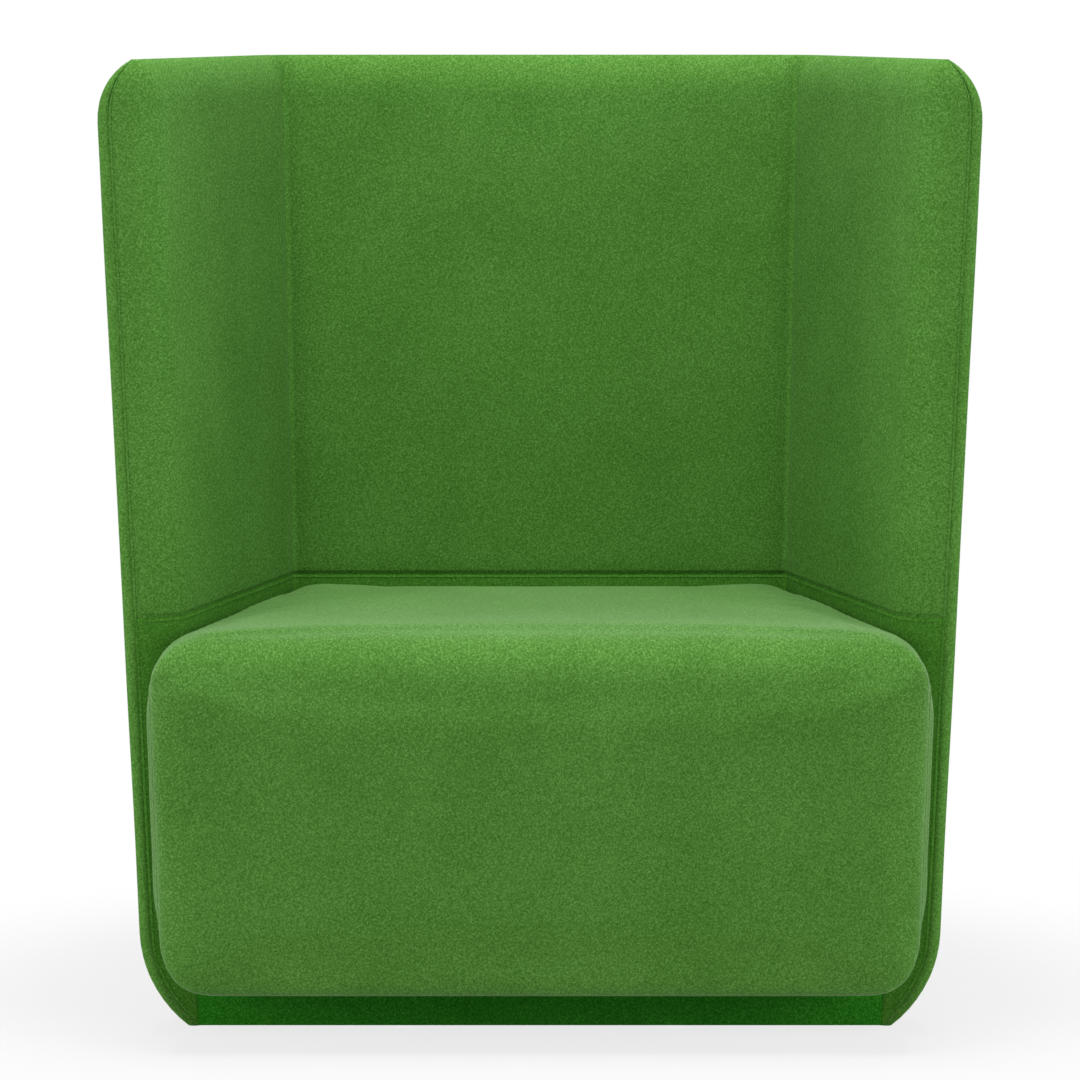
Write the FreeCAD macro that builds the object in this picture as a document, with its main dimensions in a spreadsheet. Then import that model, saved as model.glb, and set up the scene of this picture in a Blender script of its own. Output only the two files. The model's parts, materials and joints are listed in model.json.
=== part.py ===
import FreeCAD
import Part
import Sketcher
import math
import os

# Acoustic high back lounge chair, in millimetres.
# The front faces -Y, +X is the sitter's left, +Z is up, and the floor is z = 0.
# A padded U-shaped shell flares upwards and wraps a deep block seat on a low plinth.

doc = FreeCAD.newDocument("acoustic_lounge_chair")
sheet = doc.addObject("Spreadsheet::Sheet", "sizes")

# Driving dimensions, in mm and degrees
DRIVING = [
    ("overall_height", 1060, "floor to the flat top of the shell"),
    ("overall_width", 951, "across the widest line of the wings"),
    ("overall_depth", 680, "seat front to the widest line of the back"),
    ("foot_height", 10, "height of the glides under the shell"),
    ("plinth_height", 52, "shell bottom to the underside of the seat"),
    ("seat_height", 455, "floor to the top of the seat"),
    ("back_thickness", 102.5, "back wall at seat height"),
    ("seat_overhang", 125, "seat front to the front of the wings"),
    ("seat_side_inset", 51.5, "widest line of a wing to the side of the seat, at its top"),
    ("seat_side_lean", 1.7, "lean of the seat sides, degrees"),
    ("seat_top_round", 55, "round of the seat's top corners, from the front"),
    ("seat_bottom_round", 65, "round of the seat's bottom corners"),
    ("seat_front_round", 60, "roll between the seat's top and front"),
    ("seat_toe_round", 20, "roll between the seat's front and underside"),
    ("seat_side_round", 28, "round of the seat's upright front corners"),
    ("seat_crown", 6, "rise of the seat's top over its sides"),
    ("seat_fall", 6, "fall of the seat's top towards the back"),
    ("seat_gap", 1.5, "gap between the seat and the shell"),
    ("wing_thickness", 61, "wing, measured square to it"),
    ("wing_splay", 14, "angle of a wing to the Y axis in plan, degrees"),
    ("side_lean", 2.5, "outward lean of the shell's outer faces, degrees"),
    ("back_recline", 5.2, "lean of the back panel's inner face, degrees"),
    ("top_rise", 65, "widest line to the flat top"),
    ("top_round", 79, "round of the outer top edge"),
    ("top_flat", 3, "flat left on top of a wing"),
    ("top_roll", 45, "height of the roll from the inner faces to the top"),
    ("bottom_round", 130, "round of the outer bottom edge"),
    ("bottom_rise", 100, "height of that round"),
    ("rear_corner_round", 120, "outer rear corners in plan"),
    ("inner_corner_round", 8, "inner corners in plan"),
    ("front_outer_round", 12, "outer edge of a wing's front"),
    ("front_inner_round", 45, "inner edge of a wing's front"),
    ("seam_rise", 3, "level seam above the top of the seat"),
    ("border_width", 16, "outer face to the border seam on a wing's front"),
    ("border_end", 0.8, "the same at the flat top"),
    ("cover", 1.6, "felt cover"),
    ("padding", 10, "foam outside the boards"),
    ("board", 12, "shell boards"),
    ("top_foam", 38, "foam over the top of the boards"),
    ("board_rise", 18, "lower edge of the shell boards over the seat's underside"),
    ("front_foam", 18, "foam in front of the stiles"),
    ("rail_depth", 26, "stiles, posts and rails, into the wall"),
    ("stile_width", 28, "front stiles, along the wing"),
    ("rail_height", 40, "rails"),
    ("cloth", 1, "cloth under the seat and the base"),
    ("base_board_thickness", 15, "base board"),
    ("base_setback", 4, "base board inside the cover"),
    ("plinth_board", 15, "plinth front board"),
    ("bearer_inset", 40, "outer face of the bearers inside the shell's face"),
    ("bearer_width", 40, "bearers"),
    ("front_bearer_setback", 25, "front bearer behind the front of the wings"),
    ("middle_bearer_setback", 280, "middle bearer ahead of the back's widest line"),
    ("glide_radius", 22, "glide"),
    ("front_glide_setback", 80, "front glides behind the front of the wings"),
    ("front_glide_inset", 100.5, "leaning outer face at the floor to a front glide"),
    ("rear_glide_setback", 155, "rear glides ahead of the back's widest line"),
    ("rear_glide_inset", 130.5, "leaning outer face at the floor to a rear glide"),
    ("screw_radius", 2.5, "glide screw"),
    ("screw_head_radius", 5, "glide screw head"),
    ("screw_head_height", 3, "glide screw head"),
    ("screw_cover", 1, "wood left over the point of a glide screw"),
    ("bolt_radius", 4, "seat bolt"),
    ("bolt_clearance", 0.5, "radial room round a seat bolt"),
    ("bolt_x", 150, "seat bolts from the middle"),
    ("bolt_head_radius", 6.5, "seat bolt head"),
    ("bolt_head_height", 5, "seat bolt head"),
    ("washer_radius", 12, "seat bolt washer"),
    ("washer_thickness", 1.6, "seat bolt washer"),
    ("tee_nut_radius", 10, "tee nut flange"),
    ("tee_nut_flange", 1.5, "tee nut flange"),
    ("tee_nut_barrel", 10, "length of a tee nut's barrel"),
    ("tee_nut_wall", 1.2, "wall of a tee nut's barrel"),
    ("seat_frame_height", 268, "seat frame with its bottom cloth"),
    ("seat_front_foam_depth", 25, "foam in front of the seat frame"),
    ("seat_board", 18, "side and rear boards of the seat frame"),
    ("seat_face_board", 15, "front board and returns of the seat frame"),
    ("seat_side_foam", 8, "least foam between the seat frame and its cover"),
    ("cleat_height", 25, "cleats in the seat frame"),
    ("webbing_width", 50, "elastic webbing"),
    ("webbing_thickness", 2, "elastic webbing"),
    ("webbing_pitch", 84, "elastic webbing, centre to centre"),
    ("insulator", 3, "felt over the webbing"),
    ("topper", 30, "soft foam on top of the seat foam"),
]

# Places that follow from the driving dimensions
DERIVED = [
    ("seat_front_y", "-overall_depth / 2"),
    ("front_y", "seat_front_y + seat_overhang"),
    ("seat_floor", "foot_height + plinth_height"),
    ("board_floor", "seat_floor + board_rise"),
    ("frame_floor", "seat_floor + cloth"),
    ("frame_top", "seat_floor + seat_frame_height"),
    ("wide_z", "overall_height - top_rise"),
    ("front_edge_round", "min(front_outer_round; wing_thickness / cos(wing_splay)"
     " * 0.25 / tan(45 + wing_splay / 2))"),
    ("sharp_half", "overall_width / 2"
     " + front_edge_round * (1 / cos(wing_splay) + tan(wing_splay) - 1)"),
    ("side_at_floor", "sharp_half - top_round * (1 - cos(side_lean))"
     " - (wide_z - top_round * sin(side_lean)) * tan(side_lean)"),
    ("side_at_seat_floor", "side_at_floor + seat_floor * tan(side_lean)"),
    ("seat_width", "overall_width - 2 * seat_side_inset"),
    ("seat_depth", "overall_depth + side_at_floor + seat_height * tan(side_lean)"
     " - sharp_half - back_thickness"),
    ("seat_half_base", "seat_width / 2 - (seat_height - seat_floor) * tan(seat_side_lean)"),
    ("face_half", "seat_half_base - cover - seat_front_foam_depth"),
    ("face_y", "seat_front_y + cover + seat_front_foam_depth"),
    ("face_round", "seat_bottom_round - 5"),
    ("back_low_y", "seat_front_y + seat_depth - (seat_height - seat_floor) * tan(back_recline)"),
    ("frame_rear_y", "back_low_y - seat_gap - cover - seat_side_foam"),
    ("frame_half", "side_at_seat_floor - wing_thickness / cos(wing_splay)"
     " - (frame_rear_y - front_y) * tan(wing_splay)"
     " - (seat_gap + cover + seat_side_foam) / cos(wing_splay)"),
    ("frame_side_y", "face_y + seat_face_board"),
    ("frame_side_length", "frame_rear_y - frame_side_y"),
    ("frame_board_height", "seat_frame_height - cloth"),
    ("return_y_end", "front_y - seat_gap - cover - seat_side_foam"),
    ("return_floor", "seat_floor + seat_bottom_round"),
    ("return_height", "frame_top - return_floor"),
    ("plinth_half", "side_at_floor + foot_height * tan(side_lean)"
     " - wing_thickness / cos(wing_splay) - cover"),
    ("front_bearer_y", "front_y + front_bearer_setback"),
    ("middle_bearer_y", "overall_depth / 2 - middle_bearer_setback"),
    ("glide_front_y", "front_y + front_glide_setback"),
    ("glide_front_x", "side_at_floor - front_glide_setback * tan(wing_splay)"
     " - front_glide_inset"),
    ("glide_rear_y", "overall_depth / 2 - rear_glide_setback"),
    ("glide_rear_x", "side_at_floor - (glide_rear_y - front_y) * tan(wing_splay)"
     " - rear_glide_inset"),
    ("base_floor", "foot_height + cloth"),
    ("bearer_floor", "base_floor + base_board_thickness"),
    ("bolt_hole", "bolt_radius + bolt_clearance"),
    ("barrel_radius", "bolt_radius + tee_nut_wall"),
    ("front_bolt_y", "front_bearer_y + bearer_width / 2"),
    ("middle_bolt_y", "middle_bearer_y + bearer_width / 2"),
]

for row, (alias, value, note) in enumerate(DRIVING, start=1):
    sheet.set(f"A{row}", note)
    sheet.set(f"B{row}", str(value))
    sheet.setAlias(f"B{row}", alias)
doc.recompute()
for row, (alias, formula) in enumerate(DERIVED, start=len(DRIVING) + 1):
    sheet.set(f"B{row}", f"={formula}")
    sheet.setAlias(f"B{row}", alias)
doc.recompute()


def size(alias):
    return float(sheet.get(alias))


NODES = []


# Hard pieces drawn as sketches and pads

def origin_plane(body, role):
    return next(f for f in body.Origin.OriginFeatures if f.Role == role)


def bind(target, properties):
    for name, formula in properties.items():
        target.setExpression(name, formula)


def rectangle_sketch(body, name, width, length):
    """A rectangle from the body's origin, width along X and length along Y."""
    sketch = body.newObject("Sketcher::SketchObject", name)
    sketch.AttachmentSupport = (origin_plane(body, "XY_Plane"), [""])
    sketch.MapMode = "FlatFace"
    corners = [(0, 0), (10, 0), (10, 10), (0, 10)]
    for index in range(4):
        ends = (corners[index], corners[(index + 1) % 4])
        start, end = (FreeCAD.Vector(x, y, 0) for x, y in ends)
        sketch.addGeometry(Part.LineSegment(start, end), False)
    for index in range(4):
        sketch.addConstraint(Sketcher.Constraint("Coincident", index, 2, (index + 1) % 4, 1))
    sketch.addConstraint(Sketcher.Constraint("Coincident", 0, 1, -1, 1))
    for index, kind in enumerate(("Horizontal", "Vertical", "Horizontal", "Vertical")):
        sketch.addConstraint(Sketcher.Constraint(kind, index))
    for name, kind, line, formula in (
        ("width", "DistanceX", 0, width),
        ("length", "DistanceY", 1, length),
    ):
        number = sketch.addConstraint(Sketcher.Constraint(kind, line, 1, line, 2, 10))
        sketch.renameConstraint(number, name)
        sketch.setExpression(f"Constraints.{name}", formula)
    return sketch


def plank(label, corner, extent, holes=(), hole_radius="sizes.bolt_hole"):
    """A board or rail with square edges; holes are centres measured from its corner."""
    body = doc.addObject("PartDesign::Body", label)
    body.Label = label
    outline = rectangle_sketch(body, label + "_outline", extent[0], extent[1])
    pad = body.newObject("PartDesign::Pad", label + "_pad")
    pad.Profile = outline
    pad.setExpression("Length", extent[2])
    doc.recompute()
    if holes:
        centres = body.newObject("Sketcher::SketchObject", label + "_holes")
        centres.AttachmentSupport = (origin_plane(body, "XY_Plane"), [""])
        centres.MapMode = "FlatFace"
        for index, (x, y) in enumerate(holes):
            circle = Part.Circle(FreeCAD.Vector(5 + 3 * index, 5, 0), FreeCAD.Vector(0, 0, 1), 1)
            centres.addGeometry(circle, False)
            for name, kind, formula in (("x", "DistanceX", x), ("y", "DistanceY", y)):
                constraint = Sketcher.Constraint(kind, -1, 1, index, 3, 5)
                number = centres.addConstraint(constraint)
                centres.renameConstraint(number, f"{name}{index}")
                centres.setExpression(f"Constraints.{name}{index}", formula)
            number = centres.addConstraint(Sketcher.Constraint("Radius", index, 1))
            centres.renameConstraint(number, f"radius{index}")
            centres.setExpression(f"Constraints.radius{index}", hole_radius)
        pocket = body.newObject("PartDesign::Pocket", label + "_pocket")
        pocket.Profile = centres
        pocket.Type = "ThroughAll"
        pocket.Reversed = True
        body.Tip = pocket
    bind(body, {f"Placement.Base.{axis}": formula for axis, formula in zip("xyz", corner)})
    NODES.append(body)
    return body


def turned(label, profile, centre):
    """A body turned about an upright axis; profile is a list of (radius, height) formulas."""
    body = doc.addObject("PartDesign::Body", label)
    body.Label = label
    sketch = body.newObject("Sketcher::SketchObject", label + "_profile")
    sketch.AttachmentSupport = (origin_plane(body, "XZ_Plane"), [""])
    sketch.MapMode = "FlatFace"
    values = [(evaluate(radius), evaluate(height)) for radius, height in profile]
    count = len(values)
    for index in range(count):
        start, end = values[index], values[(index + 1) % count]
        segment = Part.LineSegment(FreeCAD.Vector(*start, 0), FreeCAD.Vector(*end, 0))
        sketch.addGeometry(segment, False)
    for index in range(count):
        following = (index + 1) % count
        sketch.addConstraint(Sketcher.Constraint("Coincident", index, 2, following, 1))
    for index, (radius, height) in enumerate(profile):
        for name, kind, formula in (("r", "DistanceX", radius), ("z", "DistanceY", height)):
            if formula == "0":
                sketch.addConstraint(Sketcher.Constraint("PointOnObject", index, 1, -1))
                continue
            value = evaluate(formula)
            number = sketch.addConstraint(Sketcher.Constraint(kind, -1, 1, index, 1, value))
            sketch.renameConstraint(number, f"{name}{index}")
            sketch.setExpression(f"Constraints.{name}{index}", formula)
    turn = body.newObject("PartDesign::Revolution", label + "_turn")
    turn.Profile = sketch
    turn.ReferenceAxis = (sketch, ["V_Axis"])
    turn.Angle = 360
    bind(body, {f"Placement.Base.{axis}": formula for axis, formula in zip("xyz", centre)})
    NODES.append(body)
    return body


def evaluate(formula):
    """The value of a formula over the sheet, for a sketch's first position."""
    sheet.set("D1", "=" + formula.replace("sizes.", ""))
    sheet.recompute()
    value = float(sheet.get("D1"))
    sheet.clear("D1")
    return value


# Soft pieces and leaning boards, worked out from the same sheet

def add_shape(label, shape):
    feature = doc.addObject("Part::Feature", label)
    feature.Label = label
    feature.Shape = shape
    NODES.append(feature)
    return feature


def single(shape):
    """The one solid of a boolean result."""
    solids = shape.Solids
    return solids[0] if len(solids) == 1 else shape


def rounded_wire(points, radii, z):
    """A closed plan outline at height z, with each corner rounded by its radius."""
    corners = [FreeCAD.Vector(x, y, z) for x, y in points]
    count = len(corners)
    cuts = []
    for index, radius in enumerate(radii):
        corner = corners[index]
        back = (corners[index - 1] - corner).normalize()
        ahead = (corners[(index + 1) % count] - corner).normalize()
        half = back.getAngle(ahead) / 2
        if radius <= 0:
            cuts.append((corner, None, corner))
            continue
        reach = radius / math.tan(half)
        middle = (back + ahead).normalize()
        nearest = corner + middle * (radius / math.sin(half) - radius)
        cuts.append((corner + back * reach, nearest, corner + ahead * reach))
    edges = []
    for index, (start, nearest, end) in enumerate(cuts):
        if nearest is not None:
            edges.append(Part.Arc(start, nearest, end).toShape())
        edges.append(Part.LineSegment(end, cuts[(index + 1) % count][0]).toShape())
    return Part.Wire(edges)


def ruled(sections):
    return Part.makeLoft(sections, True, True)


def block(outline, low, high):
    """An upright block whose plan outline, a function of height, leans with the shell."""
    wires = []
    for z in (low, high):
        points = outline(z)
        wires.append(rounded_wire(points, [0] * len(points), z))
    return ruled(wires)


def box(x_range, y_range, z_range):
    corner = FreeCAD.Vector(x_range[0], y_range[0], z_range[0])
    spans = [high - low for low, high in (x_range, y_range, z_range)]
    return Part.makeBox(*spans, corner)


def mirrored(points):
    return [(-x, y) for x, y in reversed(points)]


def mirror_x(shape):
    return shape.mirror(FreeCAD.Vector(0, 0, 0), FreeCAD.Vector(1, 0, 0))


height = size("overall_height")
# Half the width of the wings, were their front edges sharp
half_width = size("sharp_half")
half_depth = size("overall_depth") / 2
foot = size("foot_height")
front_y = size("front_y")
seat_floor = size("seat_floor")
seat_height = size("seat_height")
wide_z = size("wide_z")
cover = size("cover")
wing = size("wing_thickness")
top_round = size("top_round")
bottom_round = size("bottom_round")
rear_round = size("rear_corner_round")
lean = math.radians(size("side_lean"))
splay = math.radians(size("wing_splay"))
recline = math.tan(math.radians(size("back_recline")))
seam_z = seat_height + size("seam_rise")
board_floor = size("board_floor")
board_top = height - size("top_foam")
# Longer than anything here, for the tools that trim a piece
BEYOND = 3 * height
# Rounds of an inner and an outer corner differ by at most this many wall thicknesses
CREASE_EASE = 1.9


def side_line(z):
    """Half width of the leaning outer face, at the front of the wings."""
    return size("side_at_floor") + z * math.tan(lean)


toe_z = foot + size("bottom_rise") + bottom_round * math.sin(lean)
toe_x = side_line(foot + size("bottom_rise")) - bottom_round * math.cos(lean)


def outer_inset(z, depth):
    """How far the outer face at height z lies inside the leaning line, for a layer
    that is depth inside the cover: the face rounds over at the top and the bottom."""
    top = top_round - depth
    bottom = bottom_round - depth
    if z > wide_z - top * math.sin(lean):
        return side_line(z) - half_width + top_round - math.sqrt(top ** 2 - (z - wide_z) ** 2)
    if z < toe_z - bottom * math.sin(lean):
        return side_line(z) - toe_x - math.sqrt(bottom ** 2 - (toe_z - z) ** 2)
    return depth / math.cos(lean)


# The inner and front faces roll back over the thickness that the outer round leaves
top_roll = size("top_roll")
roll_depth = wing - outer_inset(height, 0) - size("top_flat")


def edge_inset(z, depth):
    """The same for the inner and front faces, which roll over at the top."""
    rise = z - (height - top_roll)
    if rise <= 0:
        return depth
    share = min(rise / (top_roll - depth), 1)
    return roll_depth - (roll_depth - depth) * math.sqrt(1 - share ** 2)


def wing_x(z, inset, y):
    """The right wing's plane, inset squarely from its leaning outer face."""
    return side_line(z) - inset / math.cos(splay) - (y - front_y) * math.tan(splay)


def back_y(z, inset):
    return half_depth + side_line(z) - half_width - inset


def inner_back_y(z):
    return -half_depth + size("seat_depth") + (z - seat_height) * recline


def shell_section(z, depth):
    """Plan outline of the U-shaped wall at height z."""
    outer = outer_inset(z, depth)
    inner = edge_inset(z, depth)
    y_front = front_y + inner
    y_back = back_y(z, outer)
    y_inner = inner_back_y(z) + inner
    right = [
        (wing_x(z, outer, y_front), y_front),
        (wing_x(z, outer, y_back), y_back),
    ]
    hollow = [
        (wing_x(z, wing - inner, y_inner), y_inner),
        (wing_x(z, wing - inner, y_front), y_front),
    ]
    front = right[0][0] - hollow[1][0]
    outer_room = front * 0.25 / math.tan(math.radians(45) + splay / 2)
    inner_room = front * 0.6 / math.tan(math.radians(45) - splay / 2)
    outer_radius = min(size("front_outer_round") - depth, outer_room)
    inner_radius = min(size("front_inner_round") - inner, inner_room)
    if z < seat_floor:
        # Beside the plinth the wing's front is square to it
        inner_radius = min(inner_radius, cover)
    points = right + mirrored(right) + mirrored(hollow) + hollow
    corner = rear_round - outer
    # Where the wall runs thin at its top, the crease opens to follow the outer corner
    left = wing - outer - inner
    crease = max(size("inner_corner_round") + inner, corner - CREASE_EASE * left)
    radii = [outer_radius, corner, corner, outer_radius]
    radii += [inner_radius, crease, crease, inner_radius]
    return rounded_wire(points, radii, z)


def shell_levels(depth, floor):
    """Heights of the sections: close together where an edge rounds over."""
    bottom = bottom_round - depth
    top = top_round - depth
    steps = 5
    low_turn = math.asin((toe_z - floor) / bottom)
    levels = [toe_z - bottom * math.sin(lean + (low_turn - lean) * i / steps)
              for i in range(steps, -1, -1)]
    roll_start = height - top_roll
    high_turn = math.asin((roll_start - wide_z) / top)
    levels += [wide_z + top * math.sin(-lean + (high_turn + lean) * i / steps)
               for i in range(steps)]
    levels += [roll_start + (top_roll - depth) * math.sin(math.radians(90 * i / steps))
               for i in range(steps + 1)]
    levels += [seat_floor - 1, seat_floor]
    return sorted(levels)


def wall(depth, floor=foot):
    """The U-shaped wall as a solid, depth inside the outside of the cover."""
    levels = [z for z in shell_levels(depth, floor) if z >= floor - 0.001]
    kept = [levels[0]]
    for z in levels[1:]:
        if z - kept[-1] > 0.4:
            kept.append(z)
    return ruled([shell_section(z, depth) for z in kept])


def envelope(insets):
    """All that lies inside the outer face, from a list of (height, inset)."""
    sections = []
    y_front = front_y - wing
    for z, inset in insets:
        y_back = back_y(z, inset)
        right = [(wing_x(z, inset, y_front), y_front), (wing_x(z, inset, y_back), y_back)]
        corner = rear_round - inset
        sections.append(rounded_wire(right + mirrored(right), [0, corner, corner, 0], z))
    return ruled(sections)


board_out = cover + size("padding")
board_in = board_out + size("board")
post_in = board_in + size("rail_depth")
stile_front = front_y + size("front_foam")
stile_back = stile_front + size("stile_width")


def corner_centre(z):
    y = back_y(z, rear_round)
    return wing_x(z, rear_round, y), y


def wing_end(z, inset):
    """Where the straight part of a wing ends, at the round of the rear corner."""
    x, y = corner_centre(z)
    reach = rear_round - inset
    return x + reach * math.cos(splay), y + reach * math.sin(splay)


def board_section(z):
    right = [(wing_x(z, board_out, stile_front), stile_front)]
    y = back_y(z, board_out)
    right.append((wing_x(z, board_out, y), y))
    y = back_y(z, board_in)
    hollow = [(wing_x(z, board_in, y), y)]
    hollow.append((wing_x(z, board_in, stile_front), stile_front))
    outer = rear_round - board_out
    inner = rear_round - board_in
    points = right + mirrored(right) + mirrored(hollow) + hollow
    return rounded_wire(points, [0, outer, outer, 0, 0, inner, inner, 0], z)


def corner_sector(z):
    x, y = corner_centre(z)
    reach = 2 * rear_round
    wing_side = (x + reach * math.cos(splay), y + reach * math.sin(splay))
    back_side = (x, y + reach)
    return [(x, y), wing_side, (wing_side[0], back_side[1]), back_side]


def back_sector(z):
    """The back's share of the wall, bounded by a line through each pair of corners."""
    y_in = inner_back_y(z)
    y_out = back_y(z, 0)
    x_in = wing_x(z, wing, y_in)
    x_out = wing_x(z, 0, y_out)
    right = []
    for share in (-0.3, 1.6):
        right.append((x_in + share * (x_out - x_in), y_in + share * (y_out - y_in)))
    return right + mirrored(right)


def stile(z):
    return [
        (wing_x(z, board_in, stile_front), stile_front),
        (wing_x(z, board_in, stile_back), stile_back),
        (wing_x(z, post_in, stile_back), stile_back),
        (wing_x(z, post_in, stile_front), stile_front),
    ]


def corner_post(z):
    """A post at the end of the straight back, beside the bent corner board."""
    x = corner_centre(z)[0]
    inner = x - size("stile_width")
    return [
        (x, back_y(z, board_in)),
        (inner, back_y(z, board_in)),
        (inner, back_y(z, post_in)),
        (x, back_y(z, post_in)),
    ]


def wing_rail(z):
    return [
        (wing_x(z, board_in, stile_back), stile_back),
        wing_end(z, board_in),
        wing_end(z, post_in),
        (wing_x(z, post_in, stile_back), stile_back),
    ]


def back_rail(z):
    x = corner_centre(z)[0] - size("stile_width")
    right = [(x, back_y(z, post_in)), (x, back_y(z, board_in))]
    return right + mirrored(right)


# Shell frame

padded_wall = wall(cover)
ring = ruled([board_section(board_floor), board_section(board_top)]).common(padded_wall)
left_corner = block(corner_sector, board_floor - 1, board_top + 1)
right_corner = mirror_x(left_corner)
flat_boards = ring.cut(left_corner).cut(right_corner).Solids
flat_boards.sort(key=lambda solid: solid.CenterOfMass.x)
rail_height = size("rail_height")
uprights = {
    "front_stile": block(stile, seat_floor, board_top),
    "corner_post": block(corner_post, seat_floor, board_top),
}
rails = {
    "top_rail": (board_top - rail_height, board_top),
    "seat_rail": (seam_z - rail_height / 2, seam_z + rail_height / 2),
}
frame_shapes = {
    "right_wing_board": flat_boards[0],
    "back_board": flat_boards[1],
    "left_wing_board": flat_boards[2],
    "left_corner_board": single(ring.common(left_corner)),
    "right_corner_board": single(ring.common(right_corner)),
}
for name, shape in uprights.items():
    frame_shapes[f"left_{name}"] = shape
    frame_shapes[f"right_{name}"] = mirror_x(shape)
for name, (low, high) in rails.items():
    shape = block(wing_rail, low, high)
    frame_shapes[f"left_wing_{name}"] = shape
    frame_shapes[f"right_wing_{name}"] = mirror_x(shape)
    frame_shapes[f"back_{name}"] = block(back_rail, low, high)
for name, shape in frame_shapes.items():
    add_shape(name, shape)

# Base

base_floor = size("base_floor")
bearer_floor = size("bearer_floor")
board_y = front_y + cover + size("plinth_board")
base_inset = outer_inset(base_floor, cover) + size("base_setback")
bolts = [(side * size("bolt_x"), size(place))
         for place in ("front_bolt_y", "middle_bolt_y") for side in (-1, 1)]
glides = {}
for place in ("front", "rear"):
    for name, side in (("left", 1), ("right", -1)):
        x = side * size(f"glide_{place}_x")
        glides[f"{place}_{name}_glide"] = (x, size(f"glide_{place}_y"))


def rods(places, radius, low, high):
    up = FreeCAD.Vector(0, 0, 1)
    solids = [Part.makeCylinder(radius, high - low, FreeCAD.Vector(x, y, low), up)
              for x, y in places]
    return Part.makeCompound(solids)


def base_outline(z):
    y_back = back_y(base_floor, base_inset)
    right = [
        (wing_x(base_floor, base_inset, board_y), board_y),
        (wing_x(base_floor, base_inset, y_back), y_back),
    ]
    corner = rear_round - base_inset
    return rounded_wire(right + mirrored(right), [0, corner, corner, 0], z)


def base_plate(low, high):
    plate = Part.Face(base_outline(low)).extrude(FreeCAD.Vector(0, 0, high - low))
    plate = plate.cut(rods(bolts, size("bolt_hole"), low - 1, high + 1))
    return single(plate.cut(rods(glides.values(), size("screw_radius"), low - 1, high + 1)))


bearer_out = size("bearer_inset")
bearer_in = bearer_out + size("bearer_width")


def side_bearer(z):
    y_end = back_y(bearer_floor, bearer_in)
    return [
        (wing_x(z, bearer_out, board_y), board_y),
        (min(wing_x(z, bearer_out, y_end), corner_limit), y_end),
        (min(wing_x(z, bearer_in, y_end), corner_limit - size("bearer_width")), y_end),
        (wing_x(z, bearer_in, board_y), board_y),
    ]


# The rear round leaves this much half width at the end of a side bearer
corner_limit = corner_centre(bearer_floor)[0] + 0.8 * (rear_round - bearer_out)


def cross_bearer(y_front):
    def outline(z):
        y_back = y_front + size("bearer_width")
        right = []
        for y in (y_front, y_back):
            bearer = side_bearer(z)
            (x0, y0), (x1, y1) = bearer[3], bearer[2]
            right.append((x0 + (x1 - x0) * (y - y0) / (y1 - y0), y))
        return right + mirrored(right)
    return block(outline, bearer_floor, seat_floor)


def rear_bearer(z):
    y_front = back_y(bearer_floor, bearer_in)
    x = corner_centre(bearer_floor)[0]
    right = [(x, y_front), (x, y_front + size("bearer_width"))]
    return right + mirrored(right)


def bored(shape):
    return single(shape.cut(rods(bolts, size("bolt_hole"), 0, seat_floor + 1)))


base_shapes = {
    "base_board": base_plate(base_floor, bearer_floor),
    "base_cloth": base_plate(foot, base_floor),
    "left_bearer": block(side_bearer, bearer_floor, seat_floor),
    "right_bearer": mirror_x(block(side_bearer, bearer_floor, seat_floor)),
    "front_bearer": bored(cross_bearer(size("front_bearer_y"))),
    "middle_bearer": bored(cross_bearer(size("middle_bearer_y"))),
    "rear_bearer": block(rear_bearer, bearer_floor, seat_floor),
}
for name, shape in base_shapes.items():
    add_shape(name, shape)


def plinth_cover(z):
    x = wing_x(z, wing, front_y) - 0.2
    return [(x, front_y), (x, front_y + cover), (-x, front_y + cover), (-x, front_y)]


add_shape("plinth_cover", block(plinth_cover, foot, seat_floor))
plank(
    "plinth_front_board",
    ("-sizes.plinth_half", "sizes.front_y + sizes.cover", "sizes.base_floor"),
    ("2 * sizes.plinth_half", "sizes.plinth_board", "sizes.seat_floor - sizes.base_floor"),
)

GLIDE_PROFILE = [
    ("sizes.screw_head_radius + 1", "0"),
    ("sizes.glide_radius - 2", "0"),
    ("sizes.glide_radius", "2"),
    ("sizes.glide_radius", "sizes.foot_height"),
    ("sizes.screw_radius", "sizes.foot_height"),
    ("sizes.screw_radius", "sizes.foot_height / 2"),
    ("sizes.screw_head_radius + 1", "sizes.foot_height / 2"),
]
for name, (x, y) in glides.items():
    place = "front" if name.startswith("front") else "rear"
    sign = "" if x > 0 else "-"
    centre = (f"{sign}sizes.glide_{place}_x", f"sizes.glide_{place}_y", "0")
    turned(name, GLIDE_PROFILE, centre)

screw_top = bearer_floor - size("screw_cover")
head_low = foot / 2 - size("screw_head_height")
heads = rods(glides.values(), size("screw_head_radius"), head_low, foot / 2)
shanks = rods(glides.values(), size("screw_radius"), foot / 2, screw_top)
screws = [head.fuse(shank).removeSplitter() for head, shank in zip(heads.Solids, shanks.Solids)]
add_shape("glide_screws", Part.makeCompound([single(screw) for screw in screws]))

# Shell upholstery

boards_inside = envelope([(board_floor, board_out), (board_top, board_out)])
core = padded_wall.common(boards_inside)
for shape in frame_shapes.values():
    core = core.cut(shape)
middle = block(back_sector, foot - 5, height + 5)


def in_three(shape):
    """The back's share of a wall layer, and the right and left shares."""
    sides = shape.cut(middle).Solids
    right = [solid for solid in sides if solid.CenterOfMass.x < 0]
    left = [solid for solid in sides if solid.CenterOfMass.x > 0]
    return single(shape.common(middle)), right[0], left[0]


back_foam, right_foam, left_foam = in_three(core)
add_shape("back_foam", back_foam)
add_shape("right_wing_foam", right_foam)
add_shape("left_wing_foam", left_foam)

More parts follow.
